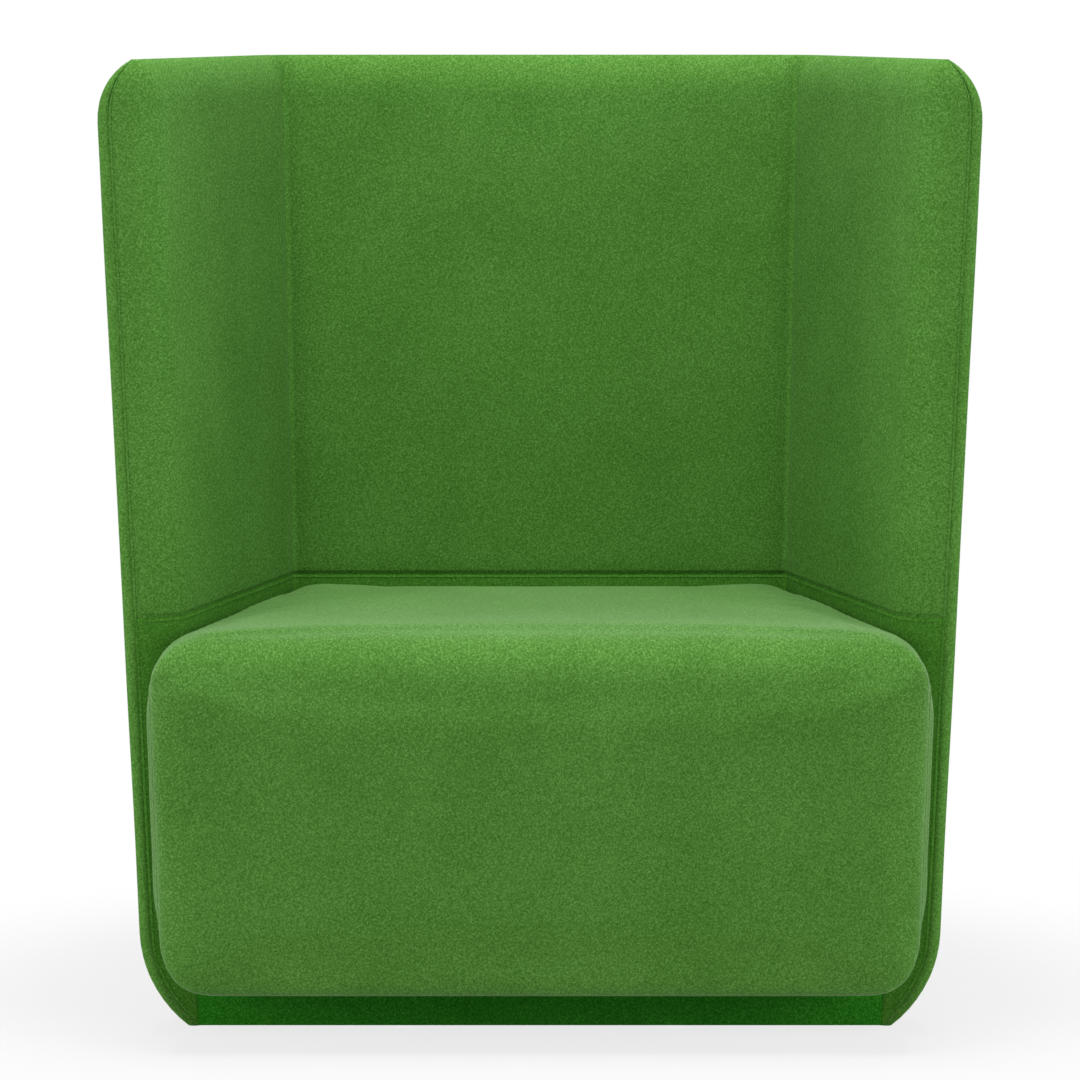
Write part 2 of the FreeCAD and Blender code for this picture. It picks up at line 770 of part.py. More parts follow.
everywhere = (-BEYOND, BEYOND)
above_boards = box(everywhere, everywhere, (board_top, BEYOND))
add_shape("top_edge_foam", single(padded_wall.common(above_boards)))
padding = padded_wall.cut(above_boards).cut(boards_inside)
for name in ("base_board", "base_cloth", "left_bearer", "right_bearer", "rear_bearer"):
    padding = padding.cut(base_shapes[name])
for name, shape in frame_shapes.items():
    if name.endswith(("stile", "post")):
        padding = padding.cut(shape)
plinth_half = size("plinth_half")
plinth_zone = box((-plinth_half, plinth_half), (front_y, board_y), (0, seat_floor))
add_shape("outer_padding", single(padding.cut(plinth_zone)))

skin = wall(0).cut(wall(cover, foot - 2 * cover))
seam_levels = [foot - cover] + [z for z in shell_levels(0, foot) if z <= wide_z]
seam_line = [(z, outer_inset(z, 0) + size("border_width")) for z in seam_levels]
for share in (0.25, 0.5, 0.75, 1.0):
    # The border narrows almost to nothing where it meets the flat top
    z = wide_z + share * size("top_rise")
    border = size("border_end") + (size("border_width") - size("border_end")) * (1 - share ** 2)
    seam_line.append((z, outer_inset(z, 0) + border))
seam_line.append((height + cover, outer_inset(height, 0) + size("border_end")))
inside_seam = envelope(seam_line)
add_shape("outer_cover", single(skin.cut(inside_seam)))
inner_skin = skin.common(inside_seam)
above_seam = box(everywhere, everywhere, (seam_z, BEYOND))
back_cover, right_cover, left_cover = in_three(inner_skin.common(above_seam))
add_shape("back_cover", back_cover)
add_shape("right_wing_cover", right_cover)
add_shape("left_wing_cover", left_cover)
under_seat = box(everywhere, (stile_front, BEYOND), (0, seat_floor))
add_shape("lower_inner_cover", single(inner_skin.cut(above_seam).cut(under_seat)))

# Seat block

seat_top = seat_height
seat_gap = size("seat_gap")
seat_lean = math.tan(math.radians(size("seat_side_lean")))
seat_back = half_depth


def seat_half(z):
    return size("seat_width") / 2 - (seat_top - z) * seat_lean


def upright_section(points, radii, swap):
    """A rounded outline turned upright: swap maps plan (x, y) to its place in space."""
    wire = rounded_wire(points, radii, 0)
    wire.transformShape(swap)
    return Part.Face(wire)


FACING_FRONT = FreeCAD.Matrix(1, 0, 0, 0, 0, 0, -1, 0, 0, 1, 0, 0, 0, 0, 0, 1)
FACING_SIDE = FreeCAD.Matrix(0, 0, 1, 0, 1, 0, 0, 0, 0, 1, 0, 0, 0, 0, 0, 1)


def seat_from_front(depth, floor):
    """The seat's front outline, drawn through its whole depth, with a crowned top."""
    side_z = seat_top - size("seat_crown") - depth
    crown_z = seat_top - depth + 0.5
    right = [(seat_half(floor) - depth, floor), (seat_half(side_z) - depth, side_z)]
    bottom = size("seat_bottom_round") - depth
    top = size("seat_top_round") - depth
    shoulder = (seat_half(side_z) - depth) / 2
    shoulder_z = side_z + 0.75 * (crown_z - side_z)
    right += [(shoulder, shoulder_z), (0, crown_z)]
    points = right + mirrored(right[:-1])
    crown = shoulder
    radii = [bottom, top, crown, 0, crown, top, bottom]
    face = upright_section(points, radii, FACING_FRONT)
    face.translate(FreeCAD.Vector(0, half_depth, 0))
    return face.extrude(FreeCAD.Vector(0, -BEYOND, 0))


def seat_from_side(depth, floor):
    """The seat's side outline: rolled front edges and a top that falls to the back."""
    y_front = -half_depth + depth
    y_back = seat_back + 1
    points = [
        (y_front, floor),
        (y_back, floor),
        (y_back, seat_top - size("seat_fall") - depth),
        (y_front, seat_top - depth),
    ]
    radii = [size("seat_toe_round") - depth, 0, 0, size("seat_front_round") - depth]
    face = upright_section(points, radii, FACING_SIDE)
    face.translate(FreeCAD.Vector(-BEYOND / 2, 0, 0))
    return face.extrude(FreeCAD.Vector(BEYOND, 0, 0))


def seat_from_above(depth, floor):
    """The seat's plan: full width in front of the wings, and fitted between them."""
    sections = []
    for z in (floor, seat_top + 5):
        y_front = -half_depth + depth
        y_step = front_y - seat_gap - depth
        y_back = inner_back_y(z) - seat_gap - depth
        half = seat_half(z) - depth + 0.3
        between = wing + seat_gap + depth
        right = [
            (half, y_front),
            (half, y_step),
            (wing_x(z, between, y_step), y_step),
            (wing_x(z, between, y_back), y_back),
        ]
        # The neck follows the wing's front as closely as the step behind the arm allows
        step = half - right[2][0]
        small = min(size("front_outer_round") - depth, 0.3 * step)
        neck_room = 0.97 * (step - small) * math.tan(math.radians(45) + splay / 2)
        neck = min(size("front_inner_round") + seat_gap + depth, neck_room)
        radii = [size("seat_side_round") - depth, small, neck, small]
        points = right + mirrored(right)
        sections.append(rounded_wire(points, radii + radii[::-1], z))
    return ruled(sections)


def seat_block(depth, floor=seat_floor):
    shape = seat_from_above(depth, floor).common(seat_from_front(depth, floor - 0.5))
    return single(shape.common(seat_from_side(depth, floor - 1)))


frame_floor = size("frame_floor")
frame_top = size("frame_top")
frame_half = size("frame_half")
face_y = size("face_y")
padded_seat = seat_block(cover, seat_floor - 1)

plank(
    "seat_rear_board",
    ("-sizes.frame_half + sizes.seat_board", "sizes.frame_rear_y - sizes.seat_board",
     "sizes.frame_floor"),
    ("2 * (sizes.frame_half - sizes.seat_board)", "sizes.seat_board",
     "sizes.frame_board_height"),
)
for name, corner_x in (
    ("left", "sizes.frame_half - sizes.seat_board"),
    ("right", "-sizes.frame_half"),
):
    plank(
        f"seat_{name}_board",
        (corner_x, "sizes.frame_side_y", "sizes.frame_floor"),
        ("sizes.seat_board", "sizes.frame_side_length", "sizes.frame_board_height"),
    )
for name, corner_x in (
    ("left", "sizes.face_half - sizes.seat_face_board"),
    ("right", "-sizes.face_half"),
):
    plank(
        f"seat_{name}_return",
        (corner_x, "sizes.frame_side_y", "sizes.return_floor"),
        ("sizes.seat_face_board", "sizes.return_y_end - sizes.frame_side_y",
         "sizes.return_height"),
    )
for name in ("front", "middle"):
    plank(
        f"seat_{name}_cleat",
        ("-sizes.frame_half + sizes.seat_board", f"sizes.{name}_bearer_y",
         "sizes.frame_floor"),
        ("2 * (sizes.frame_half - sizes.seat_board)", "sizes.bearer_width",
         "sizes.cleat_height"),
        holes=[(f"sizes.frame_half - sizes.seat_board {sign} sizes.bolt_x",
                "sizes.bearer_width / 2") for sign in "-+"],
        hole_radius="sizes.barrel_radius",
    )

face_board = plank(
    "seat_front_board",
    ("-sizes.face_half", "sizes.face_y", "sizes.frame_floor"),
    ("2 * sizes.face_half", "sizes.seat_face_board", "sizes.frame_board_height"),
)
doc.recompute()
pad = face_board.Tip
low_edges = []
for number, edge in enumerate(pad.Shape.Edges, start=1):
    ends = [vertex.Point for vertex in edge.Vertexes]
    on_floor = all(abs(point.z) < 0.01 for point in ends)
    if on_floor and abs(ends[0].x - ends[1].x) < 0.01:
        low_edges.append(f"Edge{number}")
rounding = face_board.newObject("PartDesign::Fillet", "seat_front_board_corners")
rounding.Base = (pad, low_edges)
rounding.setExpression("Radius", "sizes.face_round")
doc.recompute()

# Webbing: long straps from front to back, and cross straps on top of them
webbing = size("webbing_width")
strap = size("webbing_thickness")
pitch = size("webbing_pitch")
span_y = (face_y, size("frame_rear_y"))
long_count = int((2 * frame_half - webbing) // pitch) + 1
cross_count = int((span_y[1] - span_y[0] - webbing) // pitch) + 1
long_straps = []
for index in range(long_count):
    x = (index - (long_count - 1) / 2) * pitch
    reach = (x - webbing / 2, x + webbing / 2)
    long_straps.append(box(reach, span_y, (frame_top, frame_top + strap)))
cross_straps = []
middle_y = sum(span_y) / 2
for index in range(cross_count):
    y = middle_y + (index - (cross_count - 1) / 2) * pitch
    reach = (y - webbing / 2, y + webbing / 2)
    level = (frame_top + strap, frame_top + 2 * strap)
    cross_straps.append(box((-frame_half, frame_half), reach, level))
add_shape("seat_long_webbing", Part.makeCompound(long_straps))
add_shape("seat_cross_webbing", Part.makeCompound(cross_straps))

felt_floor = frame_top + 2 * strap
foam_floor = felt_floor + size("insulator")
topper_floor = seat_top - size("seat_crown") - size("topper")


def seat_layer(low, high):
    return padded_seat.common(box(everywhere, everywhere, (low, high)))


add_shape("seat_insulator", box((-frame_half, frame_half), span_y, (felt_floor, foam_floor)))
add_shape("seat_foam", single(seat_layer(foam_floor, topper_floor)))
add_shape("seat_topper", single(seat_layer(topper_floor, BEYOND)))
skirt = seat_layer(frame_floor, foam_floor)
ahead = box(everywhere, (-BEYOND, face_y), everywhere)
add_shape("seat_front_foam", single(skirt.common(ahead)))
frame_space = box((-frame_half, frame_half), span_y, (frame_floor, foam_floor))
skirt = skirt.cut(ahead).cut(frame_space).cut(face_board.Shape)
for node in NODES:
    if node.Label in ("seat_left_return", "seat_right_return"):
        skirt = skirt.cut(node.Shape)
for name, side in (("left", (0, BEYOND)), ("right", (-BEYOND, 0))):
    half = skirt.common(box(side, everywhere, everywhere))
    add_shape(f"seat_{name}_foam", max(half.Solids, key=lambda solid: solid.Volume))
cloth = seat_layer(seat_floor, frame_floor)
add_shape("seat_cloth", single(cloth.cut(rods(bolts, size("bolt_hole"), 0, BEYOND))))
add_shape("seat_cover", single(seat_block(0).cut(padded_seat)))

# Seat bolts, up through the base and into tee nuts on the cleats
cleat_top = frame_floor + size("cleat_height")
head_top = foot - size("washer_thickness")
bolt_top = cleat_top + 2 * size("tee_nut_flange")
heads = rods(bolts, size("bolt_head_radius"), head_top - size("bolt_head_height"), head_top)
shanks = rods(bolts, size("bolt_radius"), head_top, bolt_top)
pairs = zip(heads.Solids, shanks.Solids)
add_shape("seat_bolts", Part.makeCompound([single(a.fuse(b)) for a, b in pairs]))
washers = rods(bolts, size("washer_radius"), head_top, foot)
washer_holes = rods(bolts, size("bolt_hole"), 0, foot + 1)
add_shape("seat_washers", Part.makeCompound(washers.cut(washer_holes).Solids))
flange_top = cleat_top + size("tee_nut_flange")
barrel_low = cleat_top - size("tee_nut_barrel")
flanges = rods(bolts, size("tee_nut_radius"), cleat_top, flange_top)
barrels = rods(bolts, size("barrel_radius"), barrel_low, cleat_top)
threads = rods(bolts, size("bolt_radius"), barrel_low - 1, flange_top + 1)
nuts = []
for flange, barrel, thread in zip(flanges.Solids, barrels.Solids, threads.Solids):
    nuts.append(single(flange.fuse(barrel).cut(thread)))
add_shape("seat_tee_nuts", Part.makeCompound(nuts))

doc.recompute()
for item in doc.Objects:
    if "Invalid" in item.State or "Error" in item.State:
        raise RuntimeError(f"{item.Label} failed: {item.State}")
for node in NODES:
    if node.Shape.isNull() or not node.Shape.isValid() or not node.Shape.Solids:
        raise RuntimeError(f"{node.Label} has no valid solid")

os.makedirs("parts", exist_ok=True)
for node in NODES:
    node.Shape.exportStep(os.path.join("parts", node.Label + ".step"))
    box_size = node.Shape.BoundBox
    print(f"{node.Label}: {len(node.Shape.Solids)} solids, {node.Shape.Volume / 1000:.1f} cm3,"
          f" x {box_size.XMin:.1f} {box_size.XMax:.1f} y {box_size.YMin:.1f} {box_size.YMax:.1f}"
          f" z {box_size.ZMin:.1f} {box_size.ZMax:.1f}")
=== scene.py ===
import json
import math
import random

import bmesh
import bpy
import numpy as np
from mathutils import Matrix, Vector
from mathutils.bvhtree import BVHTree


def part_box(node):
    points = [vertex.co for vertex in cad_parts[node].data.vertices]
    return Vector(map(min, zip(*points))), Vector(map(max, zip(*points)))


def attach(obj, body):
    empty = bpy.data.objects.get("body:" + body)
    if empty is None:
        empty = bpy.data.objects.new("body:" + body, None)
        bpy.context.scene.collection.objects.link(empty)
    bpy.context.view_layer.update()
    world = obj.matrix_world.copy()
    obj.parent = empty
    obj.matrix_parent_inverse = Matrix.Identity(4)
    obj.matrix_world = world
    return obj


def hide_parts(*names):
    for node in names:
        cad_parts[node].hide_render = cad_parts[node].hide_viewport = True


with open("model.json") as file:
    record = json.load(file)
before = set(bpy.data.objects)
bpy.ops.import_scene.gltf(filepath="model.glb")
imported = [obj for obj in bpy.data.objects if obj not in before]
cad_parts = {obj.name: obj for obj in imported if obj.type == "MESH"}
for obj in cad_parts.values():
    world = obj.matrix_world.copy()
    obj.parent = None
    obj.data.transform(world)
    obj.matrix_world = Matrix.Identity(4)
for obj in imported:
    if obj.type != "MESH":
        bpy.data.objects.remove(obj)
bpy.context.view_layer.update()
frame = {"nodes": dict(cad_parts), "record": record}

# The chair's sizes in mm, with angles in radians, as in the solids
HEIGHT = 1060.0
FRONT_Y = -215.0
SEAT_FRONT_Y = -340.0
BACK_HALF_DEPTH = 340.0
WIDE_Z = 995.0
FOOT = 10.0
SEAT_FLOOR = 62.0
SEAT_TOP = 455.0
SEAM_Z = 458.0
WING = 61.0
SPLAY = math.radians(14.0)
LEAN = math.radians(2.5)
RECLINE = math.tan(math.radians(5.2))
TOP_ROUND = 79.0
TOP_FLAT = 3.0
TOP_ROLL = 45.0
BOTTOM_ROUND = 130.0
BOTTOM_RISE = 100.0
REAR_ROUND = 120.0
CREASE_ROUND = 8.0
CREASE_EASE = 1.9
FRONT_OUTER_ROUND = 12.0
FRONT_INNER_ROUND = 45.0
BORDER = 16.0
BORDER_END = 0.8
SEAT_DEPTH = 554.0
COVER = 1.6
# The seat block: its half width at the top, leans, rounds, and its gap to the shell
SEAT_HALF = 424.0
SEAT_SIDE_LEAN = math.radians(1.7)
SEAT_CROWN = 6.0
SEAT_FALL = 6.0
SEAT_GAP = 1.5
SEAT_TOP_ROUND = 55.0
SEAT_BOTTOM_ROUND = 65.0
SEAT_FRONT_ROUND = 60.0
SEAT_TOE_ROUND = 20.0
SEAT_SIDE_ROUND = 28.0
SHARP_HALF = 475.5 + FRONT_OUTER_ROUND * (1 / math.cos(SPLAY) + math.tan(SPLAY) - 1)
SIDE_AT_FLOOR = (SHARP_HALF - TOP_ROUND * (1 - math.cos(LEAN))
                 - (WIDE_Z - TOP_ROUND * math.sin(LEAN)) * math.tan(LEAN))
MM = 0.001


# Node materials

def new_material(name):
    material = bpy.data.materials.new(name)
    material.use_nodes = True
    nodes = material.node_tree.nodes
    nodes.clear()
    output = nodes.new("ShaderNodeOutputMaterial")
    shader = nodes.new("ShaderNodeBsdfPrincipled")
    material.node_tree.links.new(shader.outputs["BSDF"], output.inputs["Surface"])
    return material, material.node_tree, shader


def noise(tree, scale, detail, source, roughness=0.5):
    node = tree.nodes.new("ShaderNodeTexNoise")
    node.inputs["Scale"].default_value = scale
    node.inputs["Detail"].default_value = detail
    node.inputs["Roughness"].default_value = roughness
    tree.links.new(source, node.inputs["Vector"])
    return node.outputs["Fac"]


def stretched(tree, scale, source, turn=(0, 0, 0)):
    node = tree.nodes.new("ShaderNodeMapping")
    node.inputs["Scale"].default_value = scale
    node.inputs["Rotation"].default_value = turn
    tree.links.new(source, node.inputs["Vector"])
    return node.outputs["Vector"]


def math_node(tree, operation, first, second=None):
    node = tree.nodes.new("ShaderNodeMath")
    node.operation = operation
    for index, value in enumerate((first, second)):
        if value is None:
            continue
        if isinstance(value, (int, float)):
            node.inputs[index].default_value = value
        else:
            tree.links.new(value, node.inputs[index])
    return node.outputs["Value"]


def ramp(tree, factor, stops):
    node = tree.nodes.new("ShaderNodeValToRGB")
    elements = node.color_ramp.elements
    while len(elements) < len(stops):
        elements.new(0.5)
    for element, (place, colour) in zip(elements, stops):
        element.position = place
        element.color = (*colour, 1)
    tree.links.new(factor, node.inputs["Fac"])
    return node.outputs["Color"]


def bump(tree, shader, height, strength, distance):
    node = tree.nodes.new("ShaderNodeBump")
    node.inputs["Strength"].default_value = strength
    node.inputs["Distance"].default_value = distance
    tree.links.new(height, node.inputs["Height"])
    tree.links.new(node.outputs["Normal"], shader.inputs["Normal"])


def place(tree):
    return tree.nodes.new("ShaderNodeTexCoord").outputs["Object"]


def scaled(colour, factor):
    return tuple(min(1.0, c * factor) for c in colour)


def linear(values):
    """A colour in linear light from display values of 0 to 255."""
    shares = [min(255.0, max(0.0, v)) / 255 for v in values]
    return tuple(s / 12.92 if s <= 0.04045 else ((s + 0.055) / 1.055) ** 2.4 for s in shares)


def felt(name, display, sheen, spread=30.0, sheen_tint=(0.70, 1.0, 0.52),
         sheen_roughness=0.30):
    """Dense wool felt: a fine mottle of equal steps in every channel, short fibres and
    a soft sheen. The colour is given in display values, and so is the mottle's spread."""
    material, tree, shader = new_material(name)
    where = place(tree)
    # The nap runs from front to back, so the mottle is drawn out a little that way, and
    # it is turned askew so that no flat panel lies along the noise's own grid
    nap = stretched(tree, (1, 0.4, 1), where, (0.52, 0.37, 0.61))
    mottle = noise(tree, 470, 2, nap, 0.6)
    grain = noise(tree, 1300, 2, nap, 0.6)
    cloud = noise(tree, 9, 3, where)
    mixed = math_node(tree, "ADD", math_node(tree, "MULTIPLY", mottle, 0.62),
                      math_node(tree, "MULTIPLY", grain, 0.28))
    mixed = math_node(tree, "ADD", mixed, math_node(tree, "MULTIPLY", cloud, 0.10))
    low = linear([v - spread for v in display])
    high = linear([v + spread for v in display])
    shade = ramp(tree, mixed, [(0.30, low), (0.5, linear(display)), (0.70, high)])
    tree.links.new(shade, shader.inputs["Base Color"])
    fibres = noise(tree, 1.0, 4, stretched(tree, (900, 700, 1100), where), 0.7)
    rough = math_node(tree, "ADD", math_node(tree, "MULTIPLY", fibres, 0.12), 0.84)
    tree.links.new(rough, shader.inputs["Roughness"])
    shader.inputs["Specular IOR Level"].default_value = 0.18
    shader.inputs["Sheen Weight"].default_value = sheen
    shader.inputs["Sheen Roughness"].default_value = sheen_roughness
    shader.inputs["Sheen Tint"].default_value = (*sheen_tint, 1)
    height = math_node(tree, "ADD", mottle, math_node(tree, "MULTIPLY", fibres, 0.6))
    bump(tree, shader, height, 0.32, 0.0006)
    return material


def woven(name, colour, threads, contrast=0.5):
    """Plain woven cloth or webbing."""
    material, tree, shader = new_material(name)
    where = place(tree)
    waves = []
    for axis in ("X", "Y"):
        wave = tree.nodes.new("ShaderNodeTexWave")
        wave.bands_direction = axis
        wave.inputs["Scale"].default_value = threads
        wave.inputs["Distortion"].default_value = 0.4
        tree.links.new(where, wave.inputs["Vector"])
        waves.append(wave.outputs["Fac"])
    weave = math_node(tree, "MULTIPLY", *waves)
    patches = noise(tree, 60, 3, where)
    mixed = math_node(tree, "ADD", math_node(tree, "MULTIPLY", weave, 0.6),
                      math_node(tree, "MULTIPLY", patches, 0.4))
    low, high = scaled(colour, 1 - contrast), scaled(colour, 1 + contrast)
    tree.links.new(ramp(tree, mixed, [(0.1, low), (0.8, high)]), shader.inputs["Base Color"])
    rough = math_node(tree, "ADD", math_node(tree, "MULTIPLY", patches, 0.2), 0.7)
    tree.links.new(rough, shader.inputs["Roughness"])
    bump(tree, shader, weave, 0.5, 0.0004)
    return material


def wood(name, colour, rings):
    """Planed wood: long grain along Z, with fine pores."""
    material, tree, shader = new_material(name)
    where = place(tree)
    along = stretched(tree, (rings, rings, rings * 0.05), where)
    grain = noise(tree, 1.0, 5, along, 0.6)
    pores = noise(tree, 1.0, 2, stretched(tree, (900, 900, 40), where))
    mixed = math_node(tree, "ADD", math_node(tree, "MULTIPLY", grain, 0.8),
                      math_node(tree, "MULTIPLY", pores, 0.2))
    stops = [(0.32, scaled(colour, 0.62)), (0.5, colour), (0.68, scaled(colour, 1.25))]
    tree.links.new(ramp(tree, mixed, stops), shader.inputs["Base Color"])
    rough = math_node(tree, "ADD", math_node(tree, "MULTIPLY", pores, 0.2), 0.5)
    tree.links.new(rough, shader.inputs["Roughness"])
    bump(tree, shader, mixed, 0.2, 0.0004)
    return material


def moulded(name, colour, roughness, metallic=0.0):
    """Moulded plastic or plated steel, with fine wear."""
    material, tree, shader = new_material(name)
    where = place(tree)
    grain = noise(tree, 2600, 2, where)
    wear = noise(tree, 90, 4, where)
    mixed = math_node(tree, "ADD", math_node(tree, "MULTIPLY", grain, 0.4),
                      math_node(tree, "MULTIPLY", wear, 0.6))
    stops = [(0.35, scaled(colour, 0.75)), (0.65, scaled(colour, 1.3))]
    tree.links.new(ramp(tree, mixed, stops), shader.inputs["Base Color"])
    rough = math_node(tree, "ADD", math_node(tree, "MULTIPLY", wear, 0.25), roughness)
    tree.links.new(rough, shader.inputs["Roughness"])
    shader.inputs["Metallic"].default_value = metallic
    bump(tree, shader, grain, 0.15, 0.0002)
    return material


FELT = felt("felt_green", (71, 121, 41), 0.035, 35)
FELT_SEAT = felt("felt_green_seat", (69, 118, 39), 0.17, 36, (0.92, 1.0, 0.84), 0.42)
# A darker, more saturated copy of the green felt: painted shade for the panels low inside the
# shell, beside the seat, and for the hem under the shell
FELT_PAINTED_SHADE_LOW = felt("felt_green_painted_shade_low", (58, 112, 26), 0.0)
# A much darker, more saturated copy of the green felt: painted shade for the plinth in the
# shadow of the seat's overhang
FELT_PAINTED_SHADE_PLINTH = felt("felt_green_plinth_painted_shade", (34, 119, 12), 0.0, 40)
THREAD = felt("thread_green", (56, 104, 32), 0.05, 10)
BLACK_CLOTH = woven("dust_cloth_black", (0.020, 0.020, 0.021), 260)
SLOT_MATERIALS = {
    "felt": FELT,
    "base_cloth": BLACK_CLOTH,
    "grey_felt": felt("felt_grey", (158, 156, 151), 0.05, 14),
    "webbing": woven("webbing_black", (0.045, 0.045, 0.05), 200),
    "padding_foam": felt("foam_light", (203, 203, 198), 0.03, 8),
    "soft_foam": felt("foam_soft", (226, 222, 206), 0.03, 8),
    "seat_foam": felt("foam_seat", (217, 204, 166), 0.03, 8),
    "shell_foam": felt("foam_shell", (174, 176, 180), 0.03, 8),
    "glide": moulded("plastic_black", (0.022, 0.022, 0.023), 0.42),
    "zinc_steel": moulded("steel_zinc", (0.60, 0.60, 0.58), 0.28, 1.0),
    "pine": wood("wood_pine", (0.58, 0.40, 0.22), 70),
    "plywood": wood("wood_birch", (0.66, 0.49, 0.31), 110),
}
for part in frame["record"]["subparts"]:
    node = frame["nodes"][part["node"]]
    node.data.materials.clear()
    node.data.materials.append(SLOT_MATERIALS[part["material_slot"]])


# Mesh pieces

def add_mesh(name, points, faces, material, smooth=True):
    mesh = bpy.data.meshes.new(name)
    mesh.from_pydata([tuple(p) for p in points], [], [tuple(f) for f in faces])
    mesh.validate()
    mesh.update()
    piece = bpy.data.objects.new(name, mesh)
    bpy.context.scene.collection.objects.link(piece)
    mesh.materials.append(material)
    for polygon in mesh.polygons:
        polygon.use_smooth = smooth
    return piece


def face_outward(piece):
    work = bmesh.new()
    work.from_mesh(piece.data)
    bmesh.ops.remove_doubles(work, verts=work.verts, dist=1e-6)
    bmesh.ops.recalc_face_normals(work, faces=work.faces)
    work.to_mesh(piece.data)
    work.free()


def finished(piece):
    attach(piece, "root")
    return piece


# Plan sections of the shell, as in the solids

def side_line(z):
    return SIDE_AT_FLOOR + z * math.tan(LEAN)


TOE_Z = FOOT + BOTTOM_RISE + BOTTOM_ROUND * math.sin(LEAN)
TOE_X = side_line(FOOT + BOTTOM_RISE) - BOTTOM_ROUND * math.cos(LEAN)


def outer_inset(z):
    if z > WIDE_Z - TOP_ROUND * math.sin(LEAN):
        reach = math.sqrt(TOP_ROUND ** 2 - (z - WIDE_Z) ** 2)
        return side_line(z) - SHARP_HALF + TOP_ROUND - reach
    if z < TOE_Z - BOTTOM_ROUND * math.sin(LEAN):
        return side_line(z) - TOE_X - math.sqrt(BOTTOM_ROUND ** 2 - (TOE_Z - z) ** 2)
    return 0.0


EDGE_ROUND = WING - outer_inset(HEIGHT) - TOP_FLAT


def edge_inset(z):
    rise = z - (HEIGHT - TOP_ROLL)
    if rise <= 0:
        return 0.0
    return EDGE_ROUND * (1 - math.sqrt(max(1 - (rise / TOP_ROLL) ** 2, 0)))


def wing_x(z, inset, y):
    return side_line(z) - inset / math.cos(SPLAY) - (y - FRONT_Y) * math.tan(SPLAY)


def arc_points(corner, before, after, radius, count):
    """Points on the round of a corner, from the side of before to the side of after."""
    corner, before, after = (np.array(p, float) for p in (corner, before, after))
    back = (before - corner) / np.linalg.norm(before - corner)
    ahead = (after - corner) / np.linalg.norm(after - corner)
    half = math.acos(max(-1, min(1, float(back @ ahead)))) / 2
    reach = radius / math.tan(half)
    middle = (back + ahead) / np.linalg.norm(back + ahead)
    centre = corner + middle * radius / math.sin(half)
    start, end = corner + back * reach - centre, corner + ahead * reach - centre
    first = math.atan2(start[1], start[0])
    turn = math.atan2(end[1], end[0]) - first
    turn = (turn + math.pi) % (2 * math.pi) - math.pi
    return [centre + radius * np.array([math.cos(first + turn * t), math.sin(first + turn * t)])
            for t in np.linspace(0, 1, count)]


# Distances from a seam at which the mesh has its points
NEAR_SEAM = [0.0, 0.7, 1.5, 2.5, 4.0, 6.5]
# Height over which a wing's front changes from square to round
FRONT_BLEND = 14


def run(start, end, count, seam_start=False, seam_end=False):
    """Points along a straight run, closer together beside a seam, without its end."""
    start, end = np.array(start, float), np.array(end, float)
    length = np.linalg.norm(end - start)
    places = []
    low, high = 0.0, length
    if seam_start:
        low = min(NEAR_SEAM[-1], 0.4 * length)
        places += [d * low / NEAR_SEAM[-1] for d in NEAR_SEAM[:-1]]
    if seam_end:
        high = length - min(NEAR_SEAM[-1], 0.4 * length)
    places += list(np.linspace(low, high, count))
    if seam_end:
        gap = length - high
        places += [length - d * gap / NEAR_SEAM[-1] for d in reversed(NEAR_SEAM[1:-1])]
    else:
        places = places[:-1]
    return [start + (end - start) * d / length for d in places]


# Points along the stretches of a section, and the spacing of the sections
BACK_RUN, CORNER_RUN, WING_RUN, EDGE_RUN, FACE_RUN = 18, 17, 30, 11, 4
LOW_STEPS, ROLL_STEPS, LEVEL_PITCH = 9, 14, 11


